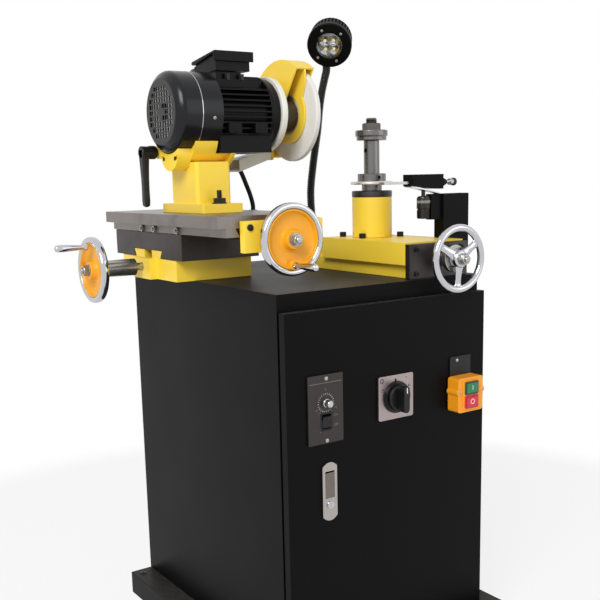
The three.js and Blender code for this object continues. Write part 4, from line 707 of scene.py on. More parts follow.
# A plate with a grid of square holes, as a disc of the given radius
def grilleTree():
    g, given = newTree("grille", {"Radius": 47.0, "Thick": 2.0, "Hole": 5.4, "Pitch": 8.9, "Rows": 9,
            "Outer": 38.0, "Inner": 13.0})
    disc = g.geo("MeshCylinder", {"Vertices": 96, "Radius": given["Radius"], "Depth": given["Thick"]})
    span = given["Pitch"] * (given["Rows"] - 1.0)
    grid = g.geo("MeshGrid", {"Size X": span, "Size Y": span, "Vertices X": given["Rows"],
            "Vertices Y": given["Rows"]})
    x, y, _ = g.parts(g.add("GeometryNodeInputPosition"))
    distance = (x * x + y * y).root()
    outside = (distance > given["Outer"]).most(distance < given["Inner"])
    kept = g.add("GeometryNodeDeleteGeometry", {"domain": "POINT"}, {"Geometry": grid, "Selection": outside})
    hole = g.geo("MeshCube", {"Size": g.vector(given["Hole"], given["Hole"], given["Thick"] * 3.0)})
    holes = g.geo("InstanceOnPoints", {"Points": kept, "Instance": hole})
    cutters = g.geo("RealizeInstances", {"Geometry": holes})
    plate = g.cut("DIFFERENCE", {"Mesh 1": disc, "Mesh 2": cutters})
    return closeTree(g, given, plate)


# Cooling fins across a round core: each is as wide as the circle is at its height
def finTree():
    g, given = newTree("coolingFins", {"Count": 10, "Pitch": 8.0, "Reach": 55.0, "Thick": 2.4,
            "Length": 88.0})
    last = given["Count"] - 1.0
    start = g.vector(0.0, 0.0, last * given["Pitch"] * -0.5)
    offset = g.vector(0.0, 0.0, given["Pitch"])
    line = g.geo("MeshLine", {"Count": given["Count"], "Start Location": start, "Offset": offset})
    up = g.parts(g.add("GeometryNodeInputPosition"))[2]
    across = (given["Reach"] * given["Reach"] - up * up).root() * 2.0
    blade = g.geo("MeshCube", {"Size": (1.0, 1.0, 1.0)})
    size = g.vector(given["Length"], across, given["Thick"])
    fins = g.geo("InstanceOnPoints", {"Points": line, "Instance": blade, "Scale": size})
    return closeTree(g, given, fins)


# A gooseneck: a round hose with rings along its path
def neckTree():
    g, given = newTree("gooseneck", {"Radius": 7.0, "Ring": 0.35, "Pitch": 3.2, "Steps": 1000})
    path = g.geo("MeshToCurve", {"Mesh": given["Geometry"]})
    even = g.geo("ResampleCurve", {"Curve": path, "Count": given["Steps"]})
    passed = g.add("GeometryNodeSplineParameter", out=1)
    fullTurn = 6.2832
    wave = g.add("ShaderNodeMath", {"operation": "SINE"}, {0: passed * fullTurn / given["Pitch"]})
    radius = given["Radius"] - given["Ring"] + wave * given["Ring"]
    ring = g.geo("CurvePrimitiveCircle", {"Resolution": 24, "Radius": 1.0})
    hose = g.geo("CurveToMesh", {"Curve": even, "Profile Curve": ring, "Scale": radius, "Fill Caps": True})
    return closeTree(g, given, hose)


screws, ticks, grille, fins, neck = screwTree(), tickTree(), grilleTree(), finTree(), neckTree()
print("geometry trees made")


def screwHeads(name, spots, facing, material, body, slot, head):
    sizes = dict(zip(("Head radius", "Head height", "Recess", "Dome"), head))
    return grown(pointsOf(name, spots, [facing] * len(spots)), screws, sizes, material, body, slot)


# Bars round an axis. Sizes are count, radius, a bar's reach out, its width and depth,
# every how many one is longer, and how many times as long that one is
def tickMarks(name, place, material, body, slot, sizes):
    labels = dict(zip(("Count", "Radius", "Radial", "Wide", "Deep", "Every", "Longer"), sizes))
    return grown(pointsOf(name), ticks, labels, material, body, slot, place)


# The rotary switch on the door: face plate, round boss and bar knob. Outlines run out from the door's face
selectorSizes = {
    "place": (4, -228, 409), "plate": (64, 3, 4), "seat": 16, "bore": 5.3, "collar": (15.7, 3, 13),
                 "box": (22, 15.3, 46),
    "boss": [(0, 1), (23.4, 1), (23.4, 5.5), (22.2, 9), (6, 9), (0, 9)], "knobOut": 9.3,
    "foot": [(0, 0), (19, 0), (19, 3.2), (17.6, 5), (0, 5)], "bar": (13, 39, 6.2), "barOut": (4, 19),
                 "narrow": 0.8,
    "shaft": (5, 2, 21.7), "pointer": (0.9, 9, 17), "print": (3.9, 4.12), "dots": (1.1, 27, 60),
    "digits": (("0", -1, 19.5), ("1", 24.5, 13.5), ("2", -26, 11.5)), "digitSize": 5,
}


# An outline whose second value is how far it stands out from a face that looks along -Y
def outwards(face, outline):
    return [(radius, face - out) for radius, out in outline]


def makeSelector():
    s = selectorSizes
    x, front, z = s["place"]
    middle = (x, 0, z)
    side, corner, thick = s["plate"]
    plate = extruded(roundedRect(side, side, corner, (x, z)), "y", front - thick, front - cadGap)
    seat = rod("y", s["seat"], front - thick - overrun, front + overrun, middle)
    piece("selectorPlate", [carved(plate, seat)], satinPlate, "selector_switch")
    shaft, shaftOut, shaftIn = s["shaft"]
    hole = rod("y", s["bore"], front - s["knobOut"] - overrun, front + shaftIn + cadGap, middle)
    outer, out, back = s["collar"]
    collar = pipe("y", outer, s["bore"], front - out, front + back, middle)
    half, near, far = s["box"]
    box = block(x - half, x + half, front + near, front + far, z - half, z + half)
    boss = turned(outwards(front, s["boss"]), "y", middle)
    piece("selectorBody", [carved(boss, hole), collar, carved(box, hole)], blackPlastic, "selector_switch")
    face = front - s["knobOut"]
    width, length, ends = s["bar"]
    near, far = s["barOut"]
    places, faces = extruded(roundedRect(width, length, ends, (0, 0), 8), "y", face - far, face - near)
    grip = [(px * (s["narrow"] if py < face - near - 1 else 1.0), py, pz) for px, py, pz in places], faces
    stem = rod("y", shaft, face - shaftOut, front + shaftIn, middle)
    piece("selectorKnob", [turned(outwards(face, s["foot"]), "y", middle), moved(grip, x, 0, z), stem],
          blackPlastic, "selector_knob", edge=1.4, rounds=3)
    half, low, high = s["pointer"]
    pointer = block(x - half, x + half, face - far - 0.1, face - far + 0.15, z + low, z + high)
    piece("selectorPointer", [pointer], whitePrint, body="selector", slot="black_plastic", edge=0)
    back, out = (front - depth for depth in s["print"])
    dot, reach, turn = s["dots"]
    marks = [rod("y", 1.9, out, back, (x - 1, 0, z + 25), 24),
             pipe("y", 3.4, 2.3, out, back, (x - 26, 0, z + 26))]
    marks += [spun(rod("y", dot, out, back, (x, 0, z + reach), 20), "y", angle, middle)
              for angle in (-turn, turn)]
    piece("selectorMarks", marks, blackScrews, body="door_leaf", slot="black_plastic", edge=0)
    redDot = rod("y", 1.3, out, back, (x + 19, 0, z + 26), 20)
    piece("selectorRedMark", [redDot], redPrint, body="door_leaf", slot="red_plastic", edge=0)
    digits = [wordShape(digit, s["digitSize"], (x + dx, front - 4.1, z + dz)) for digit, dx,
              dz in s["digits"]]
    piece("selectorDigits", digits, blackScrews, body="door_leaf", slot="black_plastic", edge=0)


# Text as a thin raised mesh that faces -Y, about its middle. The size is the capitals' height
def wordShape(text, size, at, thick=0.12):
    curve = bpy.data.curves.new("word", "FONT")
    curve.body = text
    curve.size = size * 1.35
    curve.extrude = thick / 2
    curve.align_x = "CENTER"
    curve.align_y = "CENTER"
    curve.resolution_u = 3
    obj = bpy.data.objects.new("word", curve)
    scene.collection.objects.link(obj)
    mesh = bpy.data.meshes.new_from_object(obj.evaluated_get(bpy.context.evaluated_depsgraph_get()))
    bpy.data.objects.remove(obj)
    shape = ([tuple(v.co) for v in mesh.vertices], [tuple(p.vertices) for p in mesh.polygons])
    return changed(shape, Matrix.Translation(at) @ Matrix.Rotation(math.pi / 2, 4, "X"))


# The speed panel: a dark printed plate, a dial, a rocker in a frame, two screws
speedSizes = {
    "place": (-119, -228, 410.5), "plate": (58.5, 96, 1.5, 3), "box": (20.9, 39.7, 1.5, 40),
              "rocker": (-17, 7.3, 10.3),
    "dial": (9, 3.3), "ticks": (24, 12.5, 2.2, 0.35, 0.14, 4, 1.0), "tickTurn": 27, "print": (2.9, 3.14),
              "bar": (9.2, 10.4, 14),
    "rule": (27, 36.4, 37.2), "digits": (("0", -15.5, 0), ("10", 16, 0), ("5", 0, 27.5)),
              "words": (("ON", 16.5, 7), ("OFF", 17.2, -7)),
    "knob": [(0, 12), (3.6, 12), (4.7, 11), (4.9, 3.2), (6, 2.6), (6, 0), (3, 0), (3, -23), (0, -23)],
    "knurl": (30, 4.9, 0.5, 0.42, 6.5, 50, 1.5), "rim": (20, 26, 1.2, 2.8, 4), "screws": (42.5, -44),
              "screwHead": (2.9, 0.7, 1.3, 0.35),
}


def makeSpeedPanel():
    s = speedSizes
    x, front, z = s["place"]
    rockerUp, halfWide, halfTall = s["rocker"]
    dialUp, dialBore = s["dial"]
    rockerZ, dialZ = z + rockerUp, z + dialUp
    wide, tall, corner, thick = s["plate"]
    plate = extruded(roundedRect(wide, tall, corner, (x, z)), "y", front - thick, front - cadGap)
    boxWide, boxTall, boxOut, boxIn = s["box"]
    box = block(x - boxWide, x + boxWide, front - boxOut, front + boxIn, z - boxTall, z + boxTall)
    window = block(x - halfWide, x + halfWide, front - 5, front + 12, rockerZ - halfTall, rockerZ + halfTall)
    bore = rod("y", dialBore, front - 5, front + 20, (x, 0, dialZ))
    piece("speedPlate", [carved(fused(plate, box), window, bore)], speedPlate, "speed_panel", edge=0.35)
    ring = along("y", (x, front - 3.05, dialZ)) @ Matrix.Rotation(math.radians(s["tickTurn"]), 4, "Z")
    tickMarks("speedTicks", ring, whitePrint, "door_leaf", "dark_steel", s["ticks"])
    back, out = (front - depth for depth in s["print"])
    near, far, half = s["bar"]
    prints = [block(x - far, x - near, out, back, rockerZ - half, rockerZ + half),
              block(x + near, x + far, out, back, rockerZ - half, rockerZ + half)]
    half, low, high = s["rule"]
    prints.append(block(x - half, x + half, out, back, z + low, z + high))
    prints += [wordShape(digit, 3.6, (x + dx, front - 3.1, dialZ - 9 + dz)) for digit, dx, dz in s["digits"]]
    prints += [wordShape(word, 3.4, (x + dx, front - 3.1, rockerZ + dz)) for word, dx, dz in s["words"]]
    piece("speedPrint", prints, faintPrint, body="door_leaf", slot="satin_plate", edge=0)
    face = front - thick - cadGap
    piece("speedDial", [turned(outwards(face, s["knob"]), "y", (x, 0, dialZ), 64)], chrome, "speed_knob",
          edge=0.35)
    tickMarks("dialKnurl", along("y", (x, face - 7, dialZ)), chrome, "speed_dial", "chrome", s["knurl"])
    piece("rockerCap", [fromCad("rocker_switch")], blackPlastic, "rocker_switch", edge=0.8, rounds=3)
    wide, tall, corner, near, far = s["rim"]
    rim = extruded(roundedRect(wide, tall, corner, (x, rockerZ)), "y", front - far, front - near)
    piece("rockerFrame", [carved(rim, window)], blackPlastic, body="door_leaf", slot="black_plastic",
          edge=0.3)
    screwHeads("speedScrews", [(x + 1, front - thick, z + up) for up in s["screws"]], (0, -1, 0), panelSteel,
               "door_leaf", "steel",
               s["screwHead"])


# The starter: an orange housing on a black plate, with two push buttons
starterSizes = {
    "place": (131, -228, 397), "out": 26, "plate": (42, 76, 2, 17), "shell": (50, 52, 4.5),
                "raised": (33, 43, 2.5),
    "window": (11.3, 7.8), "buttonUp": 10.5, "lug": (22.5, 5), "lugHead": (2.4, 0.25, 1.0, 0.2),
                "plateHead": (2.6, 0.6, 1.2, 0.35),
    "guard": (26.5, 19.6, 2), "cap": (22, 15, 1.4), "lugOutline": [(0, 25), (5, 25), (5.6, 23), (5.6, 3),
            (0, 3)],
    "buttons": (("startButton", "start_button", 1, "I", 7.5), ("stopButton", "stop_button", -1, "O", 8.5)),
}


def makeStarter():
    s = starterSizes
    x, front, z = s["place"]
    face = front - s["out"]
    wide, tall, corner, up = s["plate"]
    plate = extruded(roundedRect(wide, tall, corner, (x, z + up)), "y", front - 2, front - cadGap)
    piece("starterPlate", [plate], blackPlastic, "switch_housing", edge=0.4)
    shell = extruded(roundedRect(*s["shell"], (x, z)), "y", face + 2, front - 2 - cadGap)
    raised = extruded(roundedRect(*s["raised"], (x, z)), "y", face, face + 3)
    halfWide, halfTall = s["window"]
    windows = [block(x - halfWide, x + halfWide, face - 5, face + 22, z + side * s["buttonUp"] - halfTall,
                     z + side * s["buttonUp"] + halfTall) for side in (1, -1)]
    lugX, lugUp = s["lug"]
    lugs = [turned(outwards(front, s["lugOutline"]), "y", (x + side * lugX, 0, z + lugUp), 40)
            for side in (-1, 1)]
    piece("starterHousing", [carved(fused(shell, raised, *lugs), *windows)], orangePlastic, "switch_housing",
          edge=0.9, rounds=3)
    screwHeads("starterLugScrews", [(x + side * lugX, face + 1, z + lugUp) for side in (-1, 1)], (0, -1, 0),
               panelSteel, "door_leaf",
               "steel", s["lugHead"])
    screwHeads("starterPlateScrew", [(x - 7, front - 2, z + 49)], (0, -1, 0), panelSteel, "door_leaf",
               "steel", s["plateHead"])
    for name, side, window, material, slot in (("startGuard", 1, windows[0], starterRing, "black_plastic"),
                                               ("stopGuard", -1, windows[1], redPlastic, "red_plastic")):
        guard = extruded(roundedRect(*s["guard"], (x, z + side * s["buttonUp"])), "y", face - 1.4, face + 1)
        piece(name, [carved(guard, window)], material, body="door_leaf", slot=slot, edge=0.4)
    for (name, node, side, mark, size), material in zip(s["buttons"], (greenPlastic, redPlastic)):
        middle = z + side * s["buttonUp"]
        cap = extruded(roundedRect(*s["cap"], (x, middle)), "y", face - 3, face + 11)
        piece(name, [cap], material, node, edge=0.7, rounds=3)
        word = wordShape(mark, size, (x, face - 3.05, middle))
        piece(name + "Mark", [word], whitePrint, body=nodes[node]["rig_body"], slot=slotOf[node], edge=0)


# The lock: a bright case with curved ends, a sunk paddle and a key barrel
lockSizes = {
    "barrelAt": (-113.8, -228, 273.7), "slit": (0.55, 2.6),
    "barrel": [(0, 4), (1.8, 4), (2.2, 4.5), (5.2, 4.5), (5.6, 3.6), (5.6, 2), (0, 2)],
}


def makeLock():
    x, front, z = lockSizes["barrelAt"]
    piece("lockCase", [fromCad("lock_case")], lockSteel, "lock_case", edge=0.6, rounds=3)
    piece("lockPaddle", [fromCad("lock_paddle")], paddleSteel, "lock_paddle", edge=0.5, rounds=3)
    barrel = turned(outwards(front, lockSizes["barrel"]), "y", (x, 0, z), 64)
    halfWide, halfTall = lockSizes["slit"]
    key = block(x - halfWide, x + halfWide, front - 5.5, front - 2, z - halfTall, z + halfTall)
    piece("lockBarrel", [carved(barrel, key)], chrome, body="door_leaf", slot="chrome", edge=0.2)


faintPrint = moulded("faintPrint", screenColour(112, 104, 98), 0.5)
starterRing = moulded("starterRing", screenColour(52, 62, 52), 0.4)
paddleSteel = brushed("paddleSteel", screenColour(120, 112, 106), 0.3, "z", 1500.0, 0.06, 0.15)
makeSelector()
makeSpeedPanel()
makeStarter()
makeLock()
print("door controls made")


# The slides' handwheels: a yellow dish in a polished rim. Their shapes look along +Z, towards the user
wheelSizes = {"rim": 45.2, "halfWidth": 4.8, "halfHeight": 6, "sides": 32, "corner": 0.75, "gripOut": 35}


def towards(axis, at):
    turn = {"y": Matrix.Rotation(math.pi / 2, 4, "X"), "x": Matrix.Rotation(-math.pi / 2, 4, "Y")}[axis]
    return Matrix.Translation(at) @ turn


def rimSection():
    section = []
    for i in range(wheelSizes["sides"]):
        angle = 2 * math.pi * i / wheelSizes["sides"]
        c, s = math.cos(angle), math.sin(angle)
        u = abs(c) ** wheelSizes["corner"] * math.copysign(1, c) * wheelSizes["halfWidth"]
        v = abs(s) ** wheelSizes["corner"] * math.copysign(1, s) * wheelSizes["halfHeight"]
        section.append((wheelSizes["rim"] + u, v))
    return section


# The grip sits above or below the hub: side is 1 or -1
def makeDishWheel(name, node, axis, at, side):
    place = towards(axis, at)
    rim = changed(turned(rimSection(), "z", sides=128), place)
    piece(name + "Rim", [rim], chrome, node, slot="chrome", edge=0, sharp=50)
    dish = turned([(5.3, -6), (36, -6), (40.8, -4.6), (40.8, 4.4), (39.6, 5.0), (38.6, 4.4), (36.6, 0),
                   (33, -2.4),
                   (28, -3.3), (19, -3.1), (15.4, -1.2), (13.6, 3), (12.6, 8), (5.3, 8)], "z", sides=128)
    seatRing = turned([(0, 0), (7.4, 0), (7.0, 6.6), (5.6, 7.2), (0, 7.2)], "z",
                      (0, side * wheelSizes["gripOut"], 0), 48)
    piece(name + "Dish", [changed(dish, place), changed(seatRing, place)], wheelPaint, node, edge=0.7,
          rounds=3)


def gripShape(place):
    profile = curveThrough([(4.7, 7.6, 0), (4.9, 9.0, 0), (4.0, 12.5, 0), (3.7, 16.0, 0), (4.1, 24, 0),
            (4.9, 34, 0), (5.45, 44, 0), (5.5, 50, 0), (4.9, 54.8, 0),
                            (3.4, 57.0, 0), (1.4, 57.5, 0)], 5)
    outline = [(0, 7.5)] + [(float(p[0]), float(p[1])) for p in profile] + [(0, 57.5)]
    return changed(turned(outline, "z", sides=64), place)


# The screw behind a wheel: end nut, washer, dial collar, and the screw that runs on inside
screwEnd = {
    "nut": (14.2, 12, 9.4, 16.2), "crown": [(0, 16.0), (6.9, 16.0), (6.3, 17.0), (0, 17.0)],
    "washer": [(4.9, 8.3), (9.4, 8.3), (9.4, 9.4), (4.9, 9.4)], "dialAt": -9.6,
            "dial": (50, 20.0, 0.12, 0.35, 2.4, 5, 1.7),
    "collar": [(12.7, -6.4), (19.4, -6.4), (20, -7.2), (20, -13.2), (18.6, -15.3), (12.7, -15.3)],
    "shaft": [(0, 20.3), (3.6, 20.3), (4.8, 19.2), (4.8, -6.3), (12.6, -6.3), (12.6, -16)],
}


def makeScrewEnd(name, node, axis, at, fromEnd, farEnd, material, body):
    place = towards(axis, at)
    inside = [(13, -fromEnd + cadGap), (6, -fromEnd + cadGap), (6, -farEnd), (0, -farEnd)]
    shaft = turned(screwEnd["shaft"] + inside, "z", sides=64)
    across, turn, near, far = screwEnd["nut"]
    nut = extruded(hexagon(across, turn), "z", near, far)
    crown = turned(screwEnd["crown"], "z", sides=48)
    washer = turned(screwEnd["washer"], "z", sides=64)
    piece(name, [changed(s, place) for s in (shaft, nut, crown, washer)], material, node, edge=0.35)
    collar = turned(screwEnd["collar"], "z", sides=96)
    piece(name + "Collar", [changed(collar, place)], collarSteel[axis], body=body, slot="steel", edge=0.3)
    dial = place @ Matrix.Translation((0, 0, screwEnd["dialAt"]))
    tickMarks(name + "Dial", dial, blackScrews, body, "steel", screwEnd["dial"])


slideAt = {"front": (-127, -170, 637), "side": (-303, 107, 589), "arbor": (113, -243, 599)}
collarSteel = {"y": turnedSteel("collarSteelY", tones["steel"], 0.3, "y", slideAt["front"]),
               "x": turnedSteel("collarSteelX", tones["steel"], 0.3, "x", slideAt["side"])}
frontSteel = turnedSteel("frontSteel", tones["steel"], 0.26, "y", slideAt["front"], 1200)
sideSteel = turnedSteel("sideSteel", tones["steel"], 0.26, "x", slideAt["side"], 1200)
arborScrewSteel = turnedSteel("arborScrewSteel", tones["steel"], 0.26, "y", slideAt["arbor"], 1200)
makeDishWheel("frontWheel", "front_handwheel", "y", slideAt["front"], -1)
makeDishWheel("sideWheel", "side_handwheel", "x", slideAt["side"], 1)
bracketFace = spanOf("screw_bracket")[0][1] - slideAt["front"][1]
makeScrewEnd("frontScrew", "cross_screw", "y", slideAt["front"], bracketFace, 277, frontSteel, "front_wheel")
makeScrewEnd("sideScrew", "long_screw", "x", slideAt["side"], 67, 222, sideSteel, "side_wheel")
piece("frontGrip", [gripShape(towards("y", (-127, -170, 602)))], chrome, "front_grip", edge=0, sharp=50)
piece("sideGrip", [gripShape(towards("x", (-303, 107, 624)))], chrome, "side_grip", edge=0, sharp=50)


# The arbor slide's wheel: a round chromed rim on three swept spokes
spokeSizes = {
    "line": [(0, 9, 1.2), (0, 18, 0.6), (0, 28, -0.8), (0, 36, -1.2), (0, 43.5, 0)],
    "halfWidths": [8.2, 6.6, 5.4, 5.6, 8.6], "halfThick": 2.7, "rim": 44.6, "rimRound": 5.3,
    "hub": [(5.3, -6), (12, -6), (13, -4.8), (13, 4.6), (11.6, 7), (10.4, 8), (5.3, 8)],
}


def makeSpokeWheel():
    place = towards("y", slideAt["arbor"])
    around = [2 * math.pi * i / 28 for i in range(28)]
    middle, bend = spokeSizes["rim"], spokeSizes["rimRound"]
    rim = turned([(middle + bend * math.cos(a), bend * math.sin(a)) for a in around], "z", sides=128)
    hub = turned(spokeSizes["hub"], "z", sides=96)
    line = curveThrough(spokeSizes["line"], 6)
    angles = [2 * math.pi * j / 20 for j in range(20)]
    rings = []
    for k, spot in enumerate(line):
        half = between(spokeSizes["halfWidths"], k / (len(line) - 1))
        ring = [(half * math.cos(a), float(spot[1]), float(spot[2]) + spokeSizes["halfThick"] * math.sin(a))
                for a in angles]
        rings.append(ring)
    spokes = [spun(skinned(rings), "z", 180 + 120 * i) for i in range(3)]
    piece("arborWheel", [changed(fused(rim, hub, *spokes), place)], chrome, "arbor_handwheel", edge=0,
          sharp=60)


makeSpokeWheel()
makeScrewEnd("arborScrewEnd", "arbor_screw", "y", slideAt["arbor"], 35.7, 333, arborScrewSteel, "arbor_wheel")
print("handwheels made")


# The column: post on a flange, and its studs with washers and nuts
columnSizes = {
    "x": -152, "y": 36, "floor": 671.2, "top": 745, "flange": (67, 132, 13), "post": (29, 41), "chamfer": 4,
               "saddle": (43.3, 35, 785),
    "studOut": 55, "nut": (17, 10, 1.4, 8.2), "washer": [(0, 0), (11, 0), (11, 1.5), (0, 1.5)],
               "ridges": (18, 8.4, 0.6, 3.9, 3.35),
}


def makeColumn():
    s = columnSizes
    x, y, floor = s["x"], s["y"], s["floor"]
    wide, deep, tall = s["flange"]
    flange = extruded(roundedRect(wide, deep, 3, (x, y)), "z", floor, floor + tall)
    w, d = s["post"]
    c = s["chamfer"]
    quarter = [(c - w, -d), (w - c, -d), (w, c - d), (w, d - c), (w - c, d), (c - w, d), (-w, d - c),
               (-w, c - d)]
    post = extruded([(x + u, y + v) for u, v in quarter], "z", floor + cadGap, s["top"])
    radius, *middle = s["saddle"]
    seat = rod("x", radius, x - 60, x + 60, (0, *middle), 128)
    piece("column", [carved(fused(flange, post), seat)], yellowPaint, "column", edge=0.9, rounds=3)
    across, turn, low, high = s["nut"]
    count, start, step, crest, root = s["ridges"]
    ridges = [(crest if i % 2 else root, start + step * i) for i in range(count)]
    stud = [(0, 0), (crest, 0), (crest, 8)] + ridges + [(3.2, 19.6), (0, 19.6)]
    nuts = []
    for side in (-s["studOut"], s["studOut"]):
        spot = (x, y + side, floor + tall)
        parts = extruded(hexagon(across, turn), "z", low, high), turned(s["washer"], "z",
                sides=64), turned(stud, "z", sides=40)
        nuts += [moved(part, *spot) for part in parts]
    piece("columnNuts", nuts, blackScrews, "column", slot="dark_steel", edge=0.3)


makeColumn()


# The cradle shows a small disc with two holes on the lever's side, and the lug of the clamp bolt
def makeCradle():
    start = spanOf("cradle")[0][0]
    disc = rod("x", 28, start - 4, start + 40, (0, 35, 760.5), 96)
    lug = rod("x", 9.5, start - 4, start + 40, (0, 75, 761), 64)
    web = block(start - 4, start + 40, 35, 75, 752, 770)
    away = carved(block(start - 2, start + 22.2, -60, 130, 690, 900), disc, lug, web)
    piece("cradle", [carved(fromCad("cradle"), away)], yellowPaint, "cradle", edge=0.9, rounds=3)
    # The two holes are dark discs laid on the face: painted shade of their insides
    holes = [turned([(0, start - 0.25), (3.2, start - 0.25), (3.2, start + 1), (0, start + 1)], "x",
                    (0, 35 + side, 750.5), 32) for side in (-18, 18)]
    piece("cradleHoleShade", holes, blackScrews, body="head", slot="dark_steel", edge=0)


makeCradle()


# Gib screws with their nuts, the slides' socket screws, and the base bolts.
# A head's sizes are its radius, height, recess and dome
gibs = [(-213.05, y, 647) for y in (118, 75, -1)]
gibSizes = {"out": 3.6, "head": (2.6, 2.4, 1.3), "nut": (9.5, 15, 3.6)}
slideScrews = {
    "bracketScrews": ([(x, -152.3, 655) for x in (-182, -72)], (0, -1, 0), "top_table", (4.6, 1.6, 2.4)),
    "carriageScrews": ([(81, -9, 623), (75.3, -67, 623), (142.4, -79.5, 623), (139, -9, 623)], (0, 0, 1),
                       "carriage", (5.3, 7.6, 2.8)),
    "endPlateScrews": ([(x, -207.3, z) for x in (64, 152) for z in (578, 613)], (0, -1, 0), "machine",
                       (3.6, 2.4, 1.9)),
    "baseBolts": ([(x, y, 38) for y in (-245, 210) for x in (-205, 205)], (0, 0, 1), "machine",
                  (5, 1.2, 2.6, 0.1)),
}


def makeSlideDetails():
    heads = [(x - gibSizes["out"], y, z) for x, y, z in gibs]
    screwHeads("gibScrews", heads, (-1, 0, 0), panelSteel, "top_table", "steel", gibSizes["head"])
    across, turn, deep = gibSizes["nut"]
    for i, spot in enumerate(gibs):
        place = Matrix.Translation(spot) @ Matrix.Rotation(-math.pi / 2, 4, "Y")
        nut = changed(extruded(hexagon(across, turn), "z", 0, deep), place)
        piece(f"gibNut{i}", [nut], panelSteel, body="top_table", slot="steel", edge=0.3)
    for name, (spots, facing, body, head) in slideScrews.items():
        screwHeads(name, spots, facing, blackScrews, body, "dark_steel", head)


makeSlideDetails()
print("column and slide screws made")


# The motor along X, seen from its fan end: cover, finned frame, end shield, ring
motorAt = (-152, 35, 817)
motorSizes = {
    "coverEnd": 10, "frameEnd": 98, "fins": {"Pitch": 8.0, "Reach": 55.2, "Thick": 2.2, "Length": 87.4},
              "shelf": (757.3, 26, 44),
    "grille": {"Radius": 47.2, "Thick": 1.6, "Hole": 6.1, "Pitch": 8.3, "Rows": 11, "Outer": 39.5,
               "Inner": 10.0}, "grilleAt": 61.2,
    "coverScrew": (-5, 58.9, 190.5), "coverHead": (2.6, 0.8, 1.3, 0.3), "blades": 12, "bladeTurn": 12,
}


def makeFanCover():
    shell = turned([(46.4, -62), (48.2, -61.6), (52.2, -59.2), (56.2, -55.6), (58.2, -51.6), (58.7, -48),
                    (58.8, -25.2), (58.9, -24.6), (58.9, -22.0), (58.7, -21.4),
                    (59, 9.4), (59, 10), (57, 10), (56.8, -49), (55, -54), (48, -58), (46.4, -60)], "x",
                   motorAt, 128)
    piece("fanCover", [shell], coverPaint, "fan_cover", edge=0.2, sharp=40)
    # A thin chrome band round the black cover's seam: a painted highlight where the seam's edge catches the
    # light
    seamHighlight = turned([(58.7, -23.9), (59.0, -23.9), (59.0, -22.9), (58.7, -22.9)], "x", motorAt, 128)
    piece("fanCoverSeamHighlight", [seamHighlight], chrome, body="head", slot="black_paint", edge=0)
    x, y, z = motorAt
    place = along("x", (x - motorSizes["grilleAt"], y, z))
    grown(pointsOf("fanGrille"), grille, motorSizes["grille"], coverPaint, "head", "black_paint", place)
    count = motorSizes["blades"]
    blade = extruded([(-30, 12), (-28, 44), (-42, 44), (-43, 12)], "z", -1, 1)
    blades = [spun(blade, "x", 360 / count * i + motorSizes["bladeTurn"]) for i in range(count)]
    hubShape = turned([(7.3, -44.2), (15, -44.2), (15, -28), (7.3, -28)], "x", sides=64)
    disc = turned([(14, -30.5), (44, -30.5), (44, -28), (14, -28)], "x", sides=96)
    front = turned([(14, -57.2), (42, -57.2), (42, -55.8), (14, -55.8)], "x", sides=96)
    piece("coolingFan", [moved(s, *motorAt) for s in blades + [hubShape, disc, front]], lightPaint,
          "cooling_fan", slot="light_paint", edge=0.25)
    out, radius, turn = motorSizes["coverScrew"]
    angle = math.radians(turn)
    spot = (x + out, y + radius * math.cos(angle), z + radius * math.sin(angle))
    screwHeads("coverScrews", [spot], (0, -1, -0.18), panelSteel, "head", "steel", motorSizes["coverHead"])


def makeMotorFrame():
    x, y, z = motorAt
    start, end = motorSizes["coverEnd"] + cadGap, motorSizes["frameEnd"]
    core = turned([(7.3, start), (47, start), (47, end), (7.3, end)], "x", motorAt, 96)
    shield = turned([(7.3, 95), (55, 95), (55.3, 96), (55.3, 99.5), (54.2, 101.5), (53, 105.5), (53, 109),
                     (51.2, 113.2), (50, 114), (30, 114), (28, 112), (7.3, 112)], "x", motorAt, 128)
    floor, tall, half = motorSizes["shelf"]
    foot = block(start, 100, -half, half, floor - z + cadGap, floor - z + tall)
    foot = moved(carved(foot, rod("x", 46, 0, 110, sides=96)), *motorAt)
    pad = moved(block(10, 62, -23, 29, 23, 58.9), *motorAt)
    webs = [moved(extruded(roundedRect(3, 50, 1.2, (px, 3)), "z", 30, 58.5), *motorAt) for px in (14, 36, 58)]
    piece("motorFrame", [core, shield, foot, pad] + webs, motorPaint, "motor_body", edge=0.7, rounds=2)
    middle = Matrix.Translation((x + (start + end) / 2, y, z))
    for name, count, turn in (("sideFins", 9, 0), ("topFins", 8, math.pi / 2)):
        sizes = {"Count": count, **motorSizes["fins"]}
        grown(pointsOf(name), fins, sizes, motorPaint, "head", "black_paint",
              middle @ Matrix.Rotation(turn, 4, "X"))
    bosses = []
    for px in (30, 75):
        for side in (-1, 1):
            bosses.append(extruded(roundedRect(22, 15, 2.5, (px, -24)), "y", side * 40, side * 57))
            bosses.append(turned([(0, side * 56), (5.4, side * 56), (5.4, side * 57.2), (0, side * 57.2)],
                    "y", (px, 0, -24), 40))
    piece("motorBosses", [moved(b, *motorAt) for b in bosses], motorPaint, body="head", slot="black_paint",
          edge=0.6)
    nuts = [extruded([(u + px, v - 27) for u, v in hexagon(8, 0)], "z", 46, 55.5) for px in (12, 36, 60)]
    piece("boxBolts", [moved(n, *motorAt) for n in nuts], blackScrews, body="head", slot="dark_steel",
          edge=0.5)
    ring = turned([(22, 114.3), (55.2, 114.3), (56, 115.2), (56, 122.8), (55, 124), (46, 124), (45, 122.8),
                   (36, 122.2), (34, 124), (23, 124), (22, 123)], "x", motorAt, 128)
    piece("flangeRing", [ring], lightPaint, "flange_ring", edge=0.3, sharp=40)


coverPaint = enamel("coverPaint", screenColour(13, 14, 18), 0.24, 0.08, 0.05, **{"Specular IOR Level": 0.3})
makeFanCover()
makeMotorFrame()


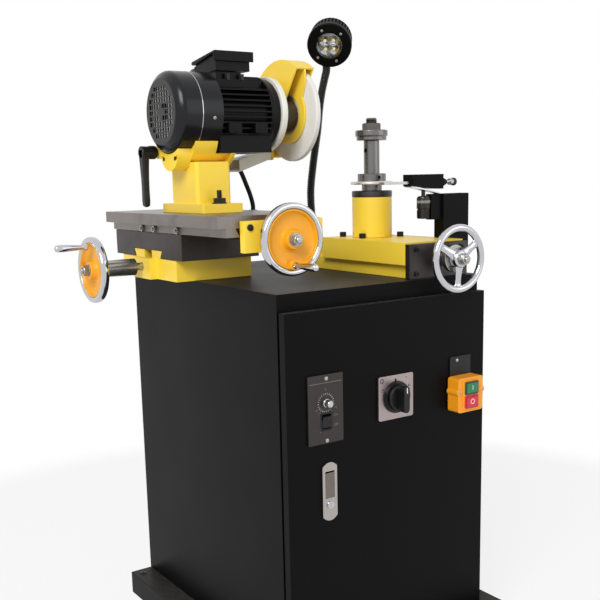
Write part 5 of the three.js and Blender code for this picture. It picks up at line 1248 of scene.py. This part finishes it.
# The terminal box under its sloping lid, a little lower than the CAD's
def lowered(name):
    low, high = spanOf("terminal_lid")
    places, faces = fromCad(name)
    placed = []
    for px, py, pz in places:
        if name == "terminal_lid" or pz > boxSizes["lidFrom"]:
            pz -= boxSizes["lowered"] - boxSizes["tipped"] * (py - low[1]) / (high[1] - low[1])
        if pz > boxSizes["wallFrom"] and py < boxSizes["backFrom"]:
            px = low[0] + boxSizes["shifted"] + (px - low[0]) * boxSizes["share"]
        placed.append((px, py, pz))
    return placed, faces


boxSizes = {"lowered": 16, "tipped": 10, "shifted": 12, "share": 0.93, "lidFrom": 892, "wallFrom": 876,
            "backFrom": 90}
piece("terminalBox", [lowered("terminal_box")], motorPaint, "terminal_box", edge=0.8)
piece("terminalLid", [lowered("terminal_lid")], motorPaint, "terminal_lid", edge=1.2, rounds=3)


# Hub, wheel and nut on the spindle
def makeSpindle():
    hub = turned([(0, -46), (7, -46), (7, 22), (28, 22), (28, 84), (7, 84), (7, 124.6), (26.5, 124.6),
                  (28, 126), (28, 137), (26.6, 138), (26.6, 141), (28, 142), (28, 158.6), (26.6, 160),
                  (22, 160), (22, 164.1), (10, 164.1), (10, 189), (9.2, 189.5), (0, 189.5)], "x", motorAt, 96)
    piece("spindleShaft", [hub], turnedSteel("hubSteel", tones["blackened"], 0.34, "x", motorAt, 900),
          "spindle_shaft", edge=0.35)
    wheel = turned([(10.2, 164.5), (69.6, 164.5), (71.6, 165.3), (72, 166.4), (72, 172.5), (71.4, 172.5),
                    (59.4, 172.5), (56.6, 169.5), (10.2, 169.5)], "x", motorAt, 160)
    piece("grindingWheel", [wheel], whiteStone, "grinding_wheel", edge=0.5)
    clampRing = turned([(10.2, 169.8), (21.6, 169.8), (22, 170.2), (22, 173), (21, 173.8), (10.2, 173.8)],
                       "x", motorAt, 96)
    nutShape = carved(moved(extruded(hexagon(24, 8), "x", 173.8, 182.6), *motorAt),
                      rod("x", 10.2, 160, 200, motorAt))
    piece("spindleNut", [clampRing, nutShape], turnedSteel("nutSteel", tones["blackened"], 0.3, "x", motorAt,
            900), "spindle_nut", edge=0.5)


makeSpindle()
piece("wheelGuard", [fromCad("wheel_guard")], yellowPaint, "wheel_guard", edge=0.6, rounds=2)
piece("dustSpout", [fromCad("dust_spout")], lightPaint, "dust_spout", edge=0.5)


# The clamp lever: a ribbed hub with a tapered arm that hangs down
leverSizes = {
    "place": (-203.6, 75, 761), "armOut": 21.5, "line": (-4, 6, 20, 38, 56, 70, 78, 80.6),
    "halfWidths": [8.0, 7.8, 6.9, 6.2, 6.0, 6.3, 5.8, 2.4],
}


def makeLever():
    x, y, z = leverSizes["place"]
    hub = turned([(0, -3), (9.2, -3), (10, -5), (10, -12), (9.0, -16), (9.4, -26), (8.4, -27), (0, -27)], "x",
                 (x, y, z), 64)
    bolt = rod("x", 4, -23, 22, (x, y, z), 48)
    armX = x - leverSizes["armOut"]
    line = curveThrough([(armX, y, z - down) for down in leverSizes["line"]], 6)
    rings = []
    for k, spot in enumerate(line):
        half = between(leverSizes["halfWidths"], k / (len(line) - 1))
        section = roundedRect(min(11.0, half * 1.5), half * 2, min(2.6, half * 0.6), (0, 0), 4)
        rings.append([(float(spot[0]) + u, float(spot[1]) + v, float(spot[2])) for u, v in section])
    piece("clampLever", [hub, bolt, skinned(rings)], blackPlastic, "clamp_lever", edge=0.4)


makeLever()
print("head made")


# The blade arbor: housing, cap, flanged shaft with its cross hole, clamp flange and nut
arborSizes = {
    "thread": (37, 776.5, 0.85, 9.0, 8.1), "crossHole": (3.6, 758.9), "keyHole": (2.6, -3, 716.8),
              "hex": (25, 21),
    "disc": [(16.1, 705.9), (33.4, 705.9), (34, 706.5), (34, 709), (32.2, 710.9), (22.7, 710.9), (22.7, 708),
             (16.1, 708)],
    "shaft": [(14.5, 697), (16, 697), (16, 710.6), (22.5, 710.6), (22.5, 721.9), (21.5, 722.9), (12.4, 722.9),
              (12.4, 773.2),
              (11.7, 773.9), (8.6, 773.9)],
    "flange": [(9.2, 774.2), (22.9, 774.2), (23.5, 774.8), (23.5, 779.6), (25.5, 781.2), (25.5, 788.4),
               (24.2, 789.9), (9.2, 789.9)],
}


def makeArbor():
    s = arborSizes
    x, y = middleOf("arbor_housing")
    low, high = spanOf("arbor_housing")
    outer = (high[0] - low[0]) / 2 + 1.6
    at = (x, y, 0)
    housing = turned([(0, low[2]), (outer, low[2]), (outer, high[2]), (15, high[2]), (15, low[2] + 13),
                      (0, low[2] + 13)], "z", at, 128)
    piece("arborHousing", [housing], yellowPaint, "arbor_housing", edge=0.9, rounds=3)
    floor, top = (corner[2] for corner in spanOf("bearing_cap"))
    cap = turned([(15, floor), (31.4, floor), (32, floor + 0.6), (32, top - 1.6), (30.7, top - 0.4),
                  (17.4, top), (15, top - 0.8)], "z", at, 128)
    piece("bearingCap", [cap], turnedSteel("capSteel", tones["blackened"], 0.36, "z", at, 700, stain=0.4),
          "bearing_cap", edge=0.3)
    foot, tip = (corner[2] for corner in spanOf("arbor_shaft"))
    count, start, step, crest, root = s["thread"]
    thread = [(crest if i % 2 else root, start + step * i) for i in range(count)]
    outline = [(0, foot), (14.5, foot)] + s["shaft"] + thread + [(7.4, tip - 0.3), (0, tip)]
    radius, up = s["crossHole"]
    through = rod("x", radius, x - 20, x + 20, (0, y, up), 40)
    radius, side, up = s["keyHole"]
    shaft = carved(turned(outline, "z", at, 96), through, rod("y", radius, y - 30, y - 12, (x + side, 0, up),
            32))
    piece("arborShaft", [shaft], arborSteel, "arbor_shaft", edge=0.25)
    disc = turned(s["disc"], "z", at, 128)
    piece("arborDisc", [disc], turnedSteel("discSteel", screenColour(214, 212, 208), 0.3, "z", at, 1000),
          "arbor_shaft", slot="steel", edge=0.25)
    flange = turned(s["flange"], "z", at, 128)
    piece("clampFlange", [flange], arborSteel, "clamp_flange", edge=0.35)
    low, high = spanOf("arbor_nut")
    blank = extruded(hexagon(*s["hex"]), "z", low[2], high[2])
    cone = turned([(9.2, low[2] - 1), (13.2, low[2] - 1), (15.2, low[2] + 1.2), (15.2, high[2] - 1.4),
                   (12.6, high[2] + 0.1), (9.2, high[2] + 0.1)], "z", sides=96)
    nut = moved(combined(blank, [cone], "INTERSECT"), x, y)
    piece("arborNut", [nut], turnedSteel("arborNutSteel", screenColour(96, 92, 88), 0.3, "z", at, 900),
          "arbor_nut", edge=0.25)


arborSteel = turnedSteel("arborSteel", screenColour(118, 116, 114), 0.27, "z", (108, -51, 0), 1100,
        stain=0.25)
makeArbor()


# The stop finger on its post: graduated thimble, slide box with its steel strip, and the blade
fingerSizes = {
    "knurl": (7, (52, 9.4, 0.5, 0.55, 10.5, 1, 1.0)), "dial": (25.4, (50, 10.02, 0.12, 0.32, 3.4, 5, 1.8)),
               "boxCut": (110, 9.5),
    "strip": [(90.7, 704.3), (90.7, 701.6), (150, 690.2), (150, 692.4)], "stripHalf": 8.5, "knobOut": 5,
}


def makeFinger():
    piece("fingerPost", [fromCad("finger_post")], blackPaint, "finger_post", edge=0.8, rounds=2)
    x, y = middleOf("finger_thimble")
    foot, top = (corner[2] for corner in spanOf("finger_thimble"))
    outline = [(0, foot), (8.4, foot), (9.4, foot + 1), (9.4, foot + 13), (8.8, foot + 13.6),
               (8.8, foot + 14.6), (10, foot + 15.2), (10, foot + 29.6),
               (8.6, foot + 33), (6.2, foot + 34), (3, foot + 34), (3, top - 0.6), (2.4, top), (0, top)]
    piece("fingerThimble", [turned(outline, "z", (x, y, 0), 96)], thimbleSteel, "finger_thimble", edge=0.2)
    up, sizes = fingerSizes["knurl"]
    tickMarks("thimbleKnurl", along("z", (x, y, foot + up)), thimbleSteel, "thimble", "dark_steel", sizes)
    up, sizes = fingerSizes["dial"]
    tickMarks("thimbleDial", along("z", (x, y, foot + up)), whitePrint, "thimble", "light_paint", sizes)
    places, faces = fromCad("finger_box")
    cut, moveIn = fingerSizes["boxCut"]
    places = [(px + (moveIn if px < cut else 0), py, pz) for px, py, pz in places]
    piece("fingerBox", [(places, faces)], blackPaint, "finger_box", edge=0.7, rounds=2)
    half = fingerSizes["stripHalf"]
    strip = extruded(fingerSizes["strip"], "y", y - half, y + half)
    piece("fingerStrip", [strip], brushed("stripSteel", tones["bright"], 0.26, "x", 1500.0, 0.05, 0.1),
          body="finger_head", slot="steel", edge=0.3)
    piece("stopFinger", [fromCad("stop_finger")], brushed("fingerSteel", tones["steel"], 0.28, "x", 1500.0,
            0.06, 0.15), "stop_finger", edge=0.4)
    low, high = spanOf("stop_finger")
    middleY, middleZ = (low[1] + high[1]) / 2, (low[2] + high[2]) / 2
    end = high[0] + fingerSizes["knobOut"]
    knob = turned([(0, end - 10.4), (3.4, end - 10.4), (3.4, end - 5.6), (5.2, end - 5.6), (6, end - 4.8),
                   (6, end - 0.9), (5.1, end + 0.2), (0, end + 0.3)],
                  "x", (0, middleY, middleZ), 48)
    piece("fingerKnob", [knob], blackPlastic, body="finger", slot="dark_steel", edge=0.25)


thimbleSteel = turnedSteel("thimbleSteel", screenColour(58, 56, 55), 0.32, "z", (121, -158, 0), 900)
makeFinger()
print("arbor and finger made")


# The work lamp: foot, ringed gooseneck, and a finned drum that looks down and to the left
lampSizes = {"foot": (118, 117), "floor": 570.3, "top": 584.3, "pivot": (146, 123, 920), "yaw": -43,
             "pitch": 28,
             "side": 11.0, "up": 27.0, "face": -14, "back": 20, "ring": 38, "drum": 33.6,
             "teeth": (38, 1.0, 3.4, 3.1),
             "screws": (28.5, (-22, 47, 158, 227)), "screwHead": (2.2, 1.2, 1.1, 0.3),
             "lights": (4, 45, 10.2),
             "hose": {"Radius": 7.0, "Ring": 0.55, "Pitch": 3.4, "Steps": 900}}
neckRoute = [(118, 117, 584.4), (118, 117, 590), (113, 117, 622.2), (107.9, 117, 657), (106.9, 117, 697),
             (112, 117, 734.9), (118, 117, 768),
             (124, 117, 799.9), (128.1, 117, 832.1), (133.2, 116.2, 861.4), (139.8, 116.2, 885),
             (146.6, 119.2, 902), (146.2, 122.4, 914.6)]


def makeLamp():
    x, y = lampSizes["foot"]
    floor, top = lampSizes["floor"], lampSizes["top"]
    foot = turned([(0, floor), (21.4, floor), (22, floor + 0.6), (22, floor + 6.2), (20.6, floor + 8),
                   (12.4, floor + 9), (11.2, floor + 10),
                   (11.2, top - 0.8), (10.4, top), (0, top)], "z", (x, y, 0), 96)
    piece("lampFoot", [foot], blackPaint, "lamp_foot", edge=0.4)
    route = curveThrough(neckRoute, 10)
    mesh = bpy.data.meshes.new("lampNeck")
    mesh.from_pydata([tuple(float(c) for c in p) for p in route], [(i, i + 1) for i in range(len(route) - 1)],
                     [])
    hose = bpy.data.objects.new("lampNeck", mesh)
    scene.collection.objects.link(hose)
    grown(hose, neck, lampSizes["hose"], blackPlastic, "machine", "black_plastic", None, ("lamp_neck",), 80)
    head = Matrix.Translation(lampSizes["pivot"]) @ Matrix.Rotation(math.radians(lampSizes["yaw"]), 4, "Z")
    head = head @ Matrix.Rotation(math.radians(lampSizes["pitch"]), 4, "X")
    drum = head @ Matrix.Translation((lampSizes["side"], 0, lampSizes["up"]))
    face, back, ring, core = (lampSizes[key] for key in ("face", "back", "ring", "drum"))
    shell = turned([(0, face + 6), (21.9, face + 6), (21.9, face + 0.8), (23, face), (ring - 1.6, face),
                    (ring, face + 1.6), (ring, face + 8.6),
                    (ring - 1.4, face + 10), (core, face + 10.4), (core, back - 3.6), (36.4, back - 3.4),
                    (36.4, back - 0.9), (35.2, back), (0, back)], "y", sides=128)
    stem = swept([(0, 0, -3), (0, 0, 6), (lampSizes["side"] * 0.6, 0, lampSizes["up"] - 26)], [5.2, 5.2, 6.0],
                 32)
    piece("lampHead", [changed(shell, drum), changed(stem, head)], blackPaint, "lamp_head", edge=0.4)
    count, out, radial, wide = lampSizes["teeth"]
    place = drum @ along("y", (0, (face + 10.2 + back - 2.2) / 2, 0))
    tickMarks("lampTeeth", place, blackPaint, "lamp", "black_paint",
              (count, core + out, radial, wide, back - face - 12.6, 1, 1.0))
    lens = turned([(0, face + 0.9), (20.9, face + 0.9), (21.5, face + 1.4), (21.5, face + 3.0),
                   (0, face + 3.0)], "y", sides=96)
    piece("lampLens", [changed(lens, drum)], lensGlass, "lamp_lens", edge=0)
    cups = [changed(turned([(0, face + 5.3), (21.2, face + 5.3), (21.2, face + 5.9), (0, face + 5.9)], "y",
            sides=64), drum)]
    lights = []
    count, first, out = lampSizes["lights"]
    for i in range(count):
        angle = math.radians(first + 360 / count * i)
        at = (out * math.cos(angle), 0, out * math.sin(angle))
        cups.append(changed(turned([(3.2, face + 5.4), (8.4, face + 3.4), (9.2, face + 3.4),
                (9.2, face + 5.9), (3.2, face + 5.9)], "y", at, 48), drum))
        lights.append(changed(turned([(0, face + 4.6), (2.6, face + 4.9), (3.0, face + 5.9), (0, face + 5.9)],
                "y", at, 32), drum))
    piece("lampCups", cups, chrome, body="lamp", slot="chrome", edge=0)
    piece("lampLights", lights, ledGlow, body="lamp", slot="clear_plastic", edge=0)
    out, turns = lampSizes["screws"]
    angles = [math.radians(turn) for turn in turns]
    spots = [drum @ Vector((out * math.sin(angle), face + 0.2, out * math.cos(angle))) for angle in angles]
    facing = drum.to_3x3() @ Vector((0, -1, 0))
    screwHeads("lampScrews", spots, tuple(facing), panelSteel, "lamp", "steel", lampSizes["screwHead"])


makeLamp()
print("lamp made")


# The cord's tapered sleeve where it leaves the terminal box
def makeRelief():
    line = curveThrough([(-116, 94, 884), (-116, 103, 884), (-116, 112, 884), (-115.2, 120, 881.6),
            (-113.7, 126, 877.4)], 6)
    count = len(line)
    radii = [6.6 - 2.0 * i / (count - 1) + (0.3 if i % 4 < 2 else 0) for i in range(count)]
    piece("cordSleeve", [swept(line, radii, 32)], blackPlastic, body="head", slot="black_rubber", edge=0,
          sharp=40)


makeRelief()
print("cord sleeve made")


# CAD nodes that keep their shape get rounded edges and a finish
plainPieces = {
    "base_plinth": (blackPaint, 1.2), "cabinet_shell": (blackPaint, 1.0), "door": (blackPaint, 1.2),
               "hinge_lower": (blackPaint, 0.4),
    "hinge_upper": (blackPaint, 0.4), "wiring_panel": (panelSteel, 0.4), "slide_base": (yellowPaint, 1.0),
               "saddle": (saddleIron, 0.8),
    "table": (tableIron, 0.6), "screw_bracket": (yellowPaint, 1.2), "cord_clip": (blackPlastic, 0.5),
               "arbor_bed": (yellowPaint, 0.8),
    "arbor_end_plate": (darkPlate, 0.8), "arbor_carriage": (yellowPaint, 0.8),
}
for name, (material, edge) in plainPieces.items():
    piece(name.replace("_", "-"), [fromCad(name)], material, name, edge=edge)
print("remaining CAD pieces dressed")

scene.view_settings.view_transform = "Standard"
studio = {"key": 84.0, "fill": 10.0, "ambient": 0.36, "floorNear": 0.45, "floorFar": 1.1, "floorWhite": 0.8}


def areaLight(name, place, target, size, watts):
    light = bpy.data.objects.new(name, bpy.data.lights.new(name, "AREA"))
    light.data.size = size
    light.data.energy = watts
    light.location = place
    light.rotation_euler = (Vector(target) - Vector(place)).to_track_quat("-Z", "Y").to_euler()
    scene.collection.objects.link(light)


def whiteWorld():
    world = bpy.data.worlds.new("studio")
    world.use_nodes = True
    scene.world = world
    g = Graph(world.node_tree)
    rays = world.node_tree.nodes.new("ShaderNodeLightPath")
    seen = Wire(g, rays.outputs["Is Camera Ray"]).most(Wire(g, rays.outputs["Is Glossy Ray"]))
    seen = seen.most(Wire(g, rays.outputs["Is Transmission Ray"]))
    strength = seen * (1.0 - studio["ambient"]) + studio["ambient"]
    shown = g.add("ShaderNodeBackground", {}, {"Color": (1, 1, 1, 1), "Strength": strength})
    g.add("ShaderNodeOutputWorld", {}, {"Surface": shown})


def paleFloor():
    floor = meshOf("floor", [extruded(roundedRect(16000, 16000, 100), "z", -20, -0.2)])
    floor.data.transform(toMetres)
    material = bpy.data.materials.new("paleFloor")
    material.use_nodes = True
    g = Graph(material.node_tree)
    place = g.add("ShaderNodeTexCoord", out=3)
    x, y, _ = g.parts(place)
    distance = (x * x + y * y).root() - studio["floorNear"]
    far = (distance / (studio["floorFar"] - studio["floorNear"])).clamped()
    far = far.most(studio["floorWhite"])
    matt = g.add("ShaderNodeBsdfPrincipled", {}, {"Base Color": (0.93, 0.93, 0.93, 1), "Roughness": 0.9})
    white = g.add("ShaderNodeEmission", {}, {"Color": (1, 1, 1, 1), "Strength": 1.0})
    mixed = g.add("ShaderNodeMixShader", {}, {0: far, 1: matt, 2: white})
    g.add("ShaderNodeOutputMaterial", {}, {"Surface": mixed})
    floor.data.materials.append(material)


areaLight("key", (-2.2, -1.7, 2.6), (0, 0, 0.6), 1.6, studio["key"])
areaLight("fill", (1.6, -2.4, 1.4), (0, 0, 0.5), 1.8, studio["fill"])
whiteWorld()
paleFloor()
print("lights and floor set")

bpy.context.view_layer.update()
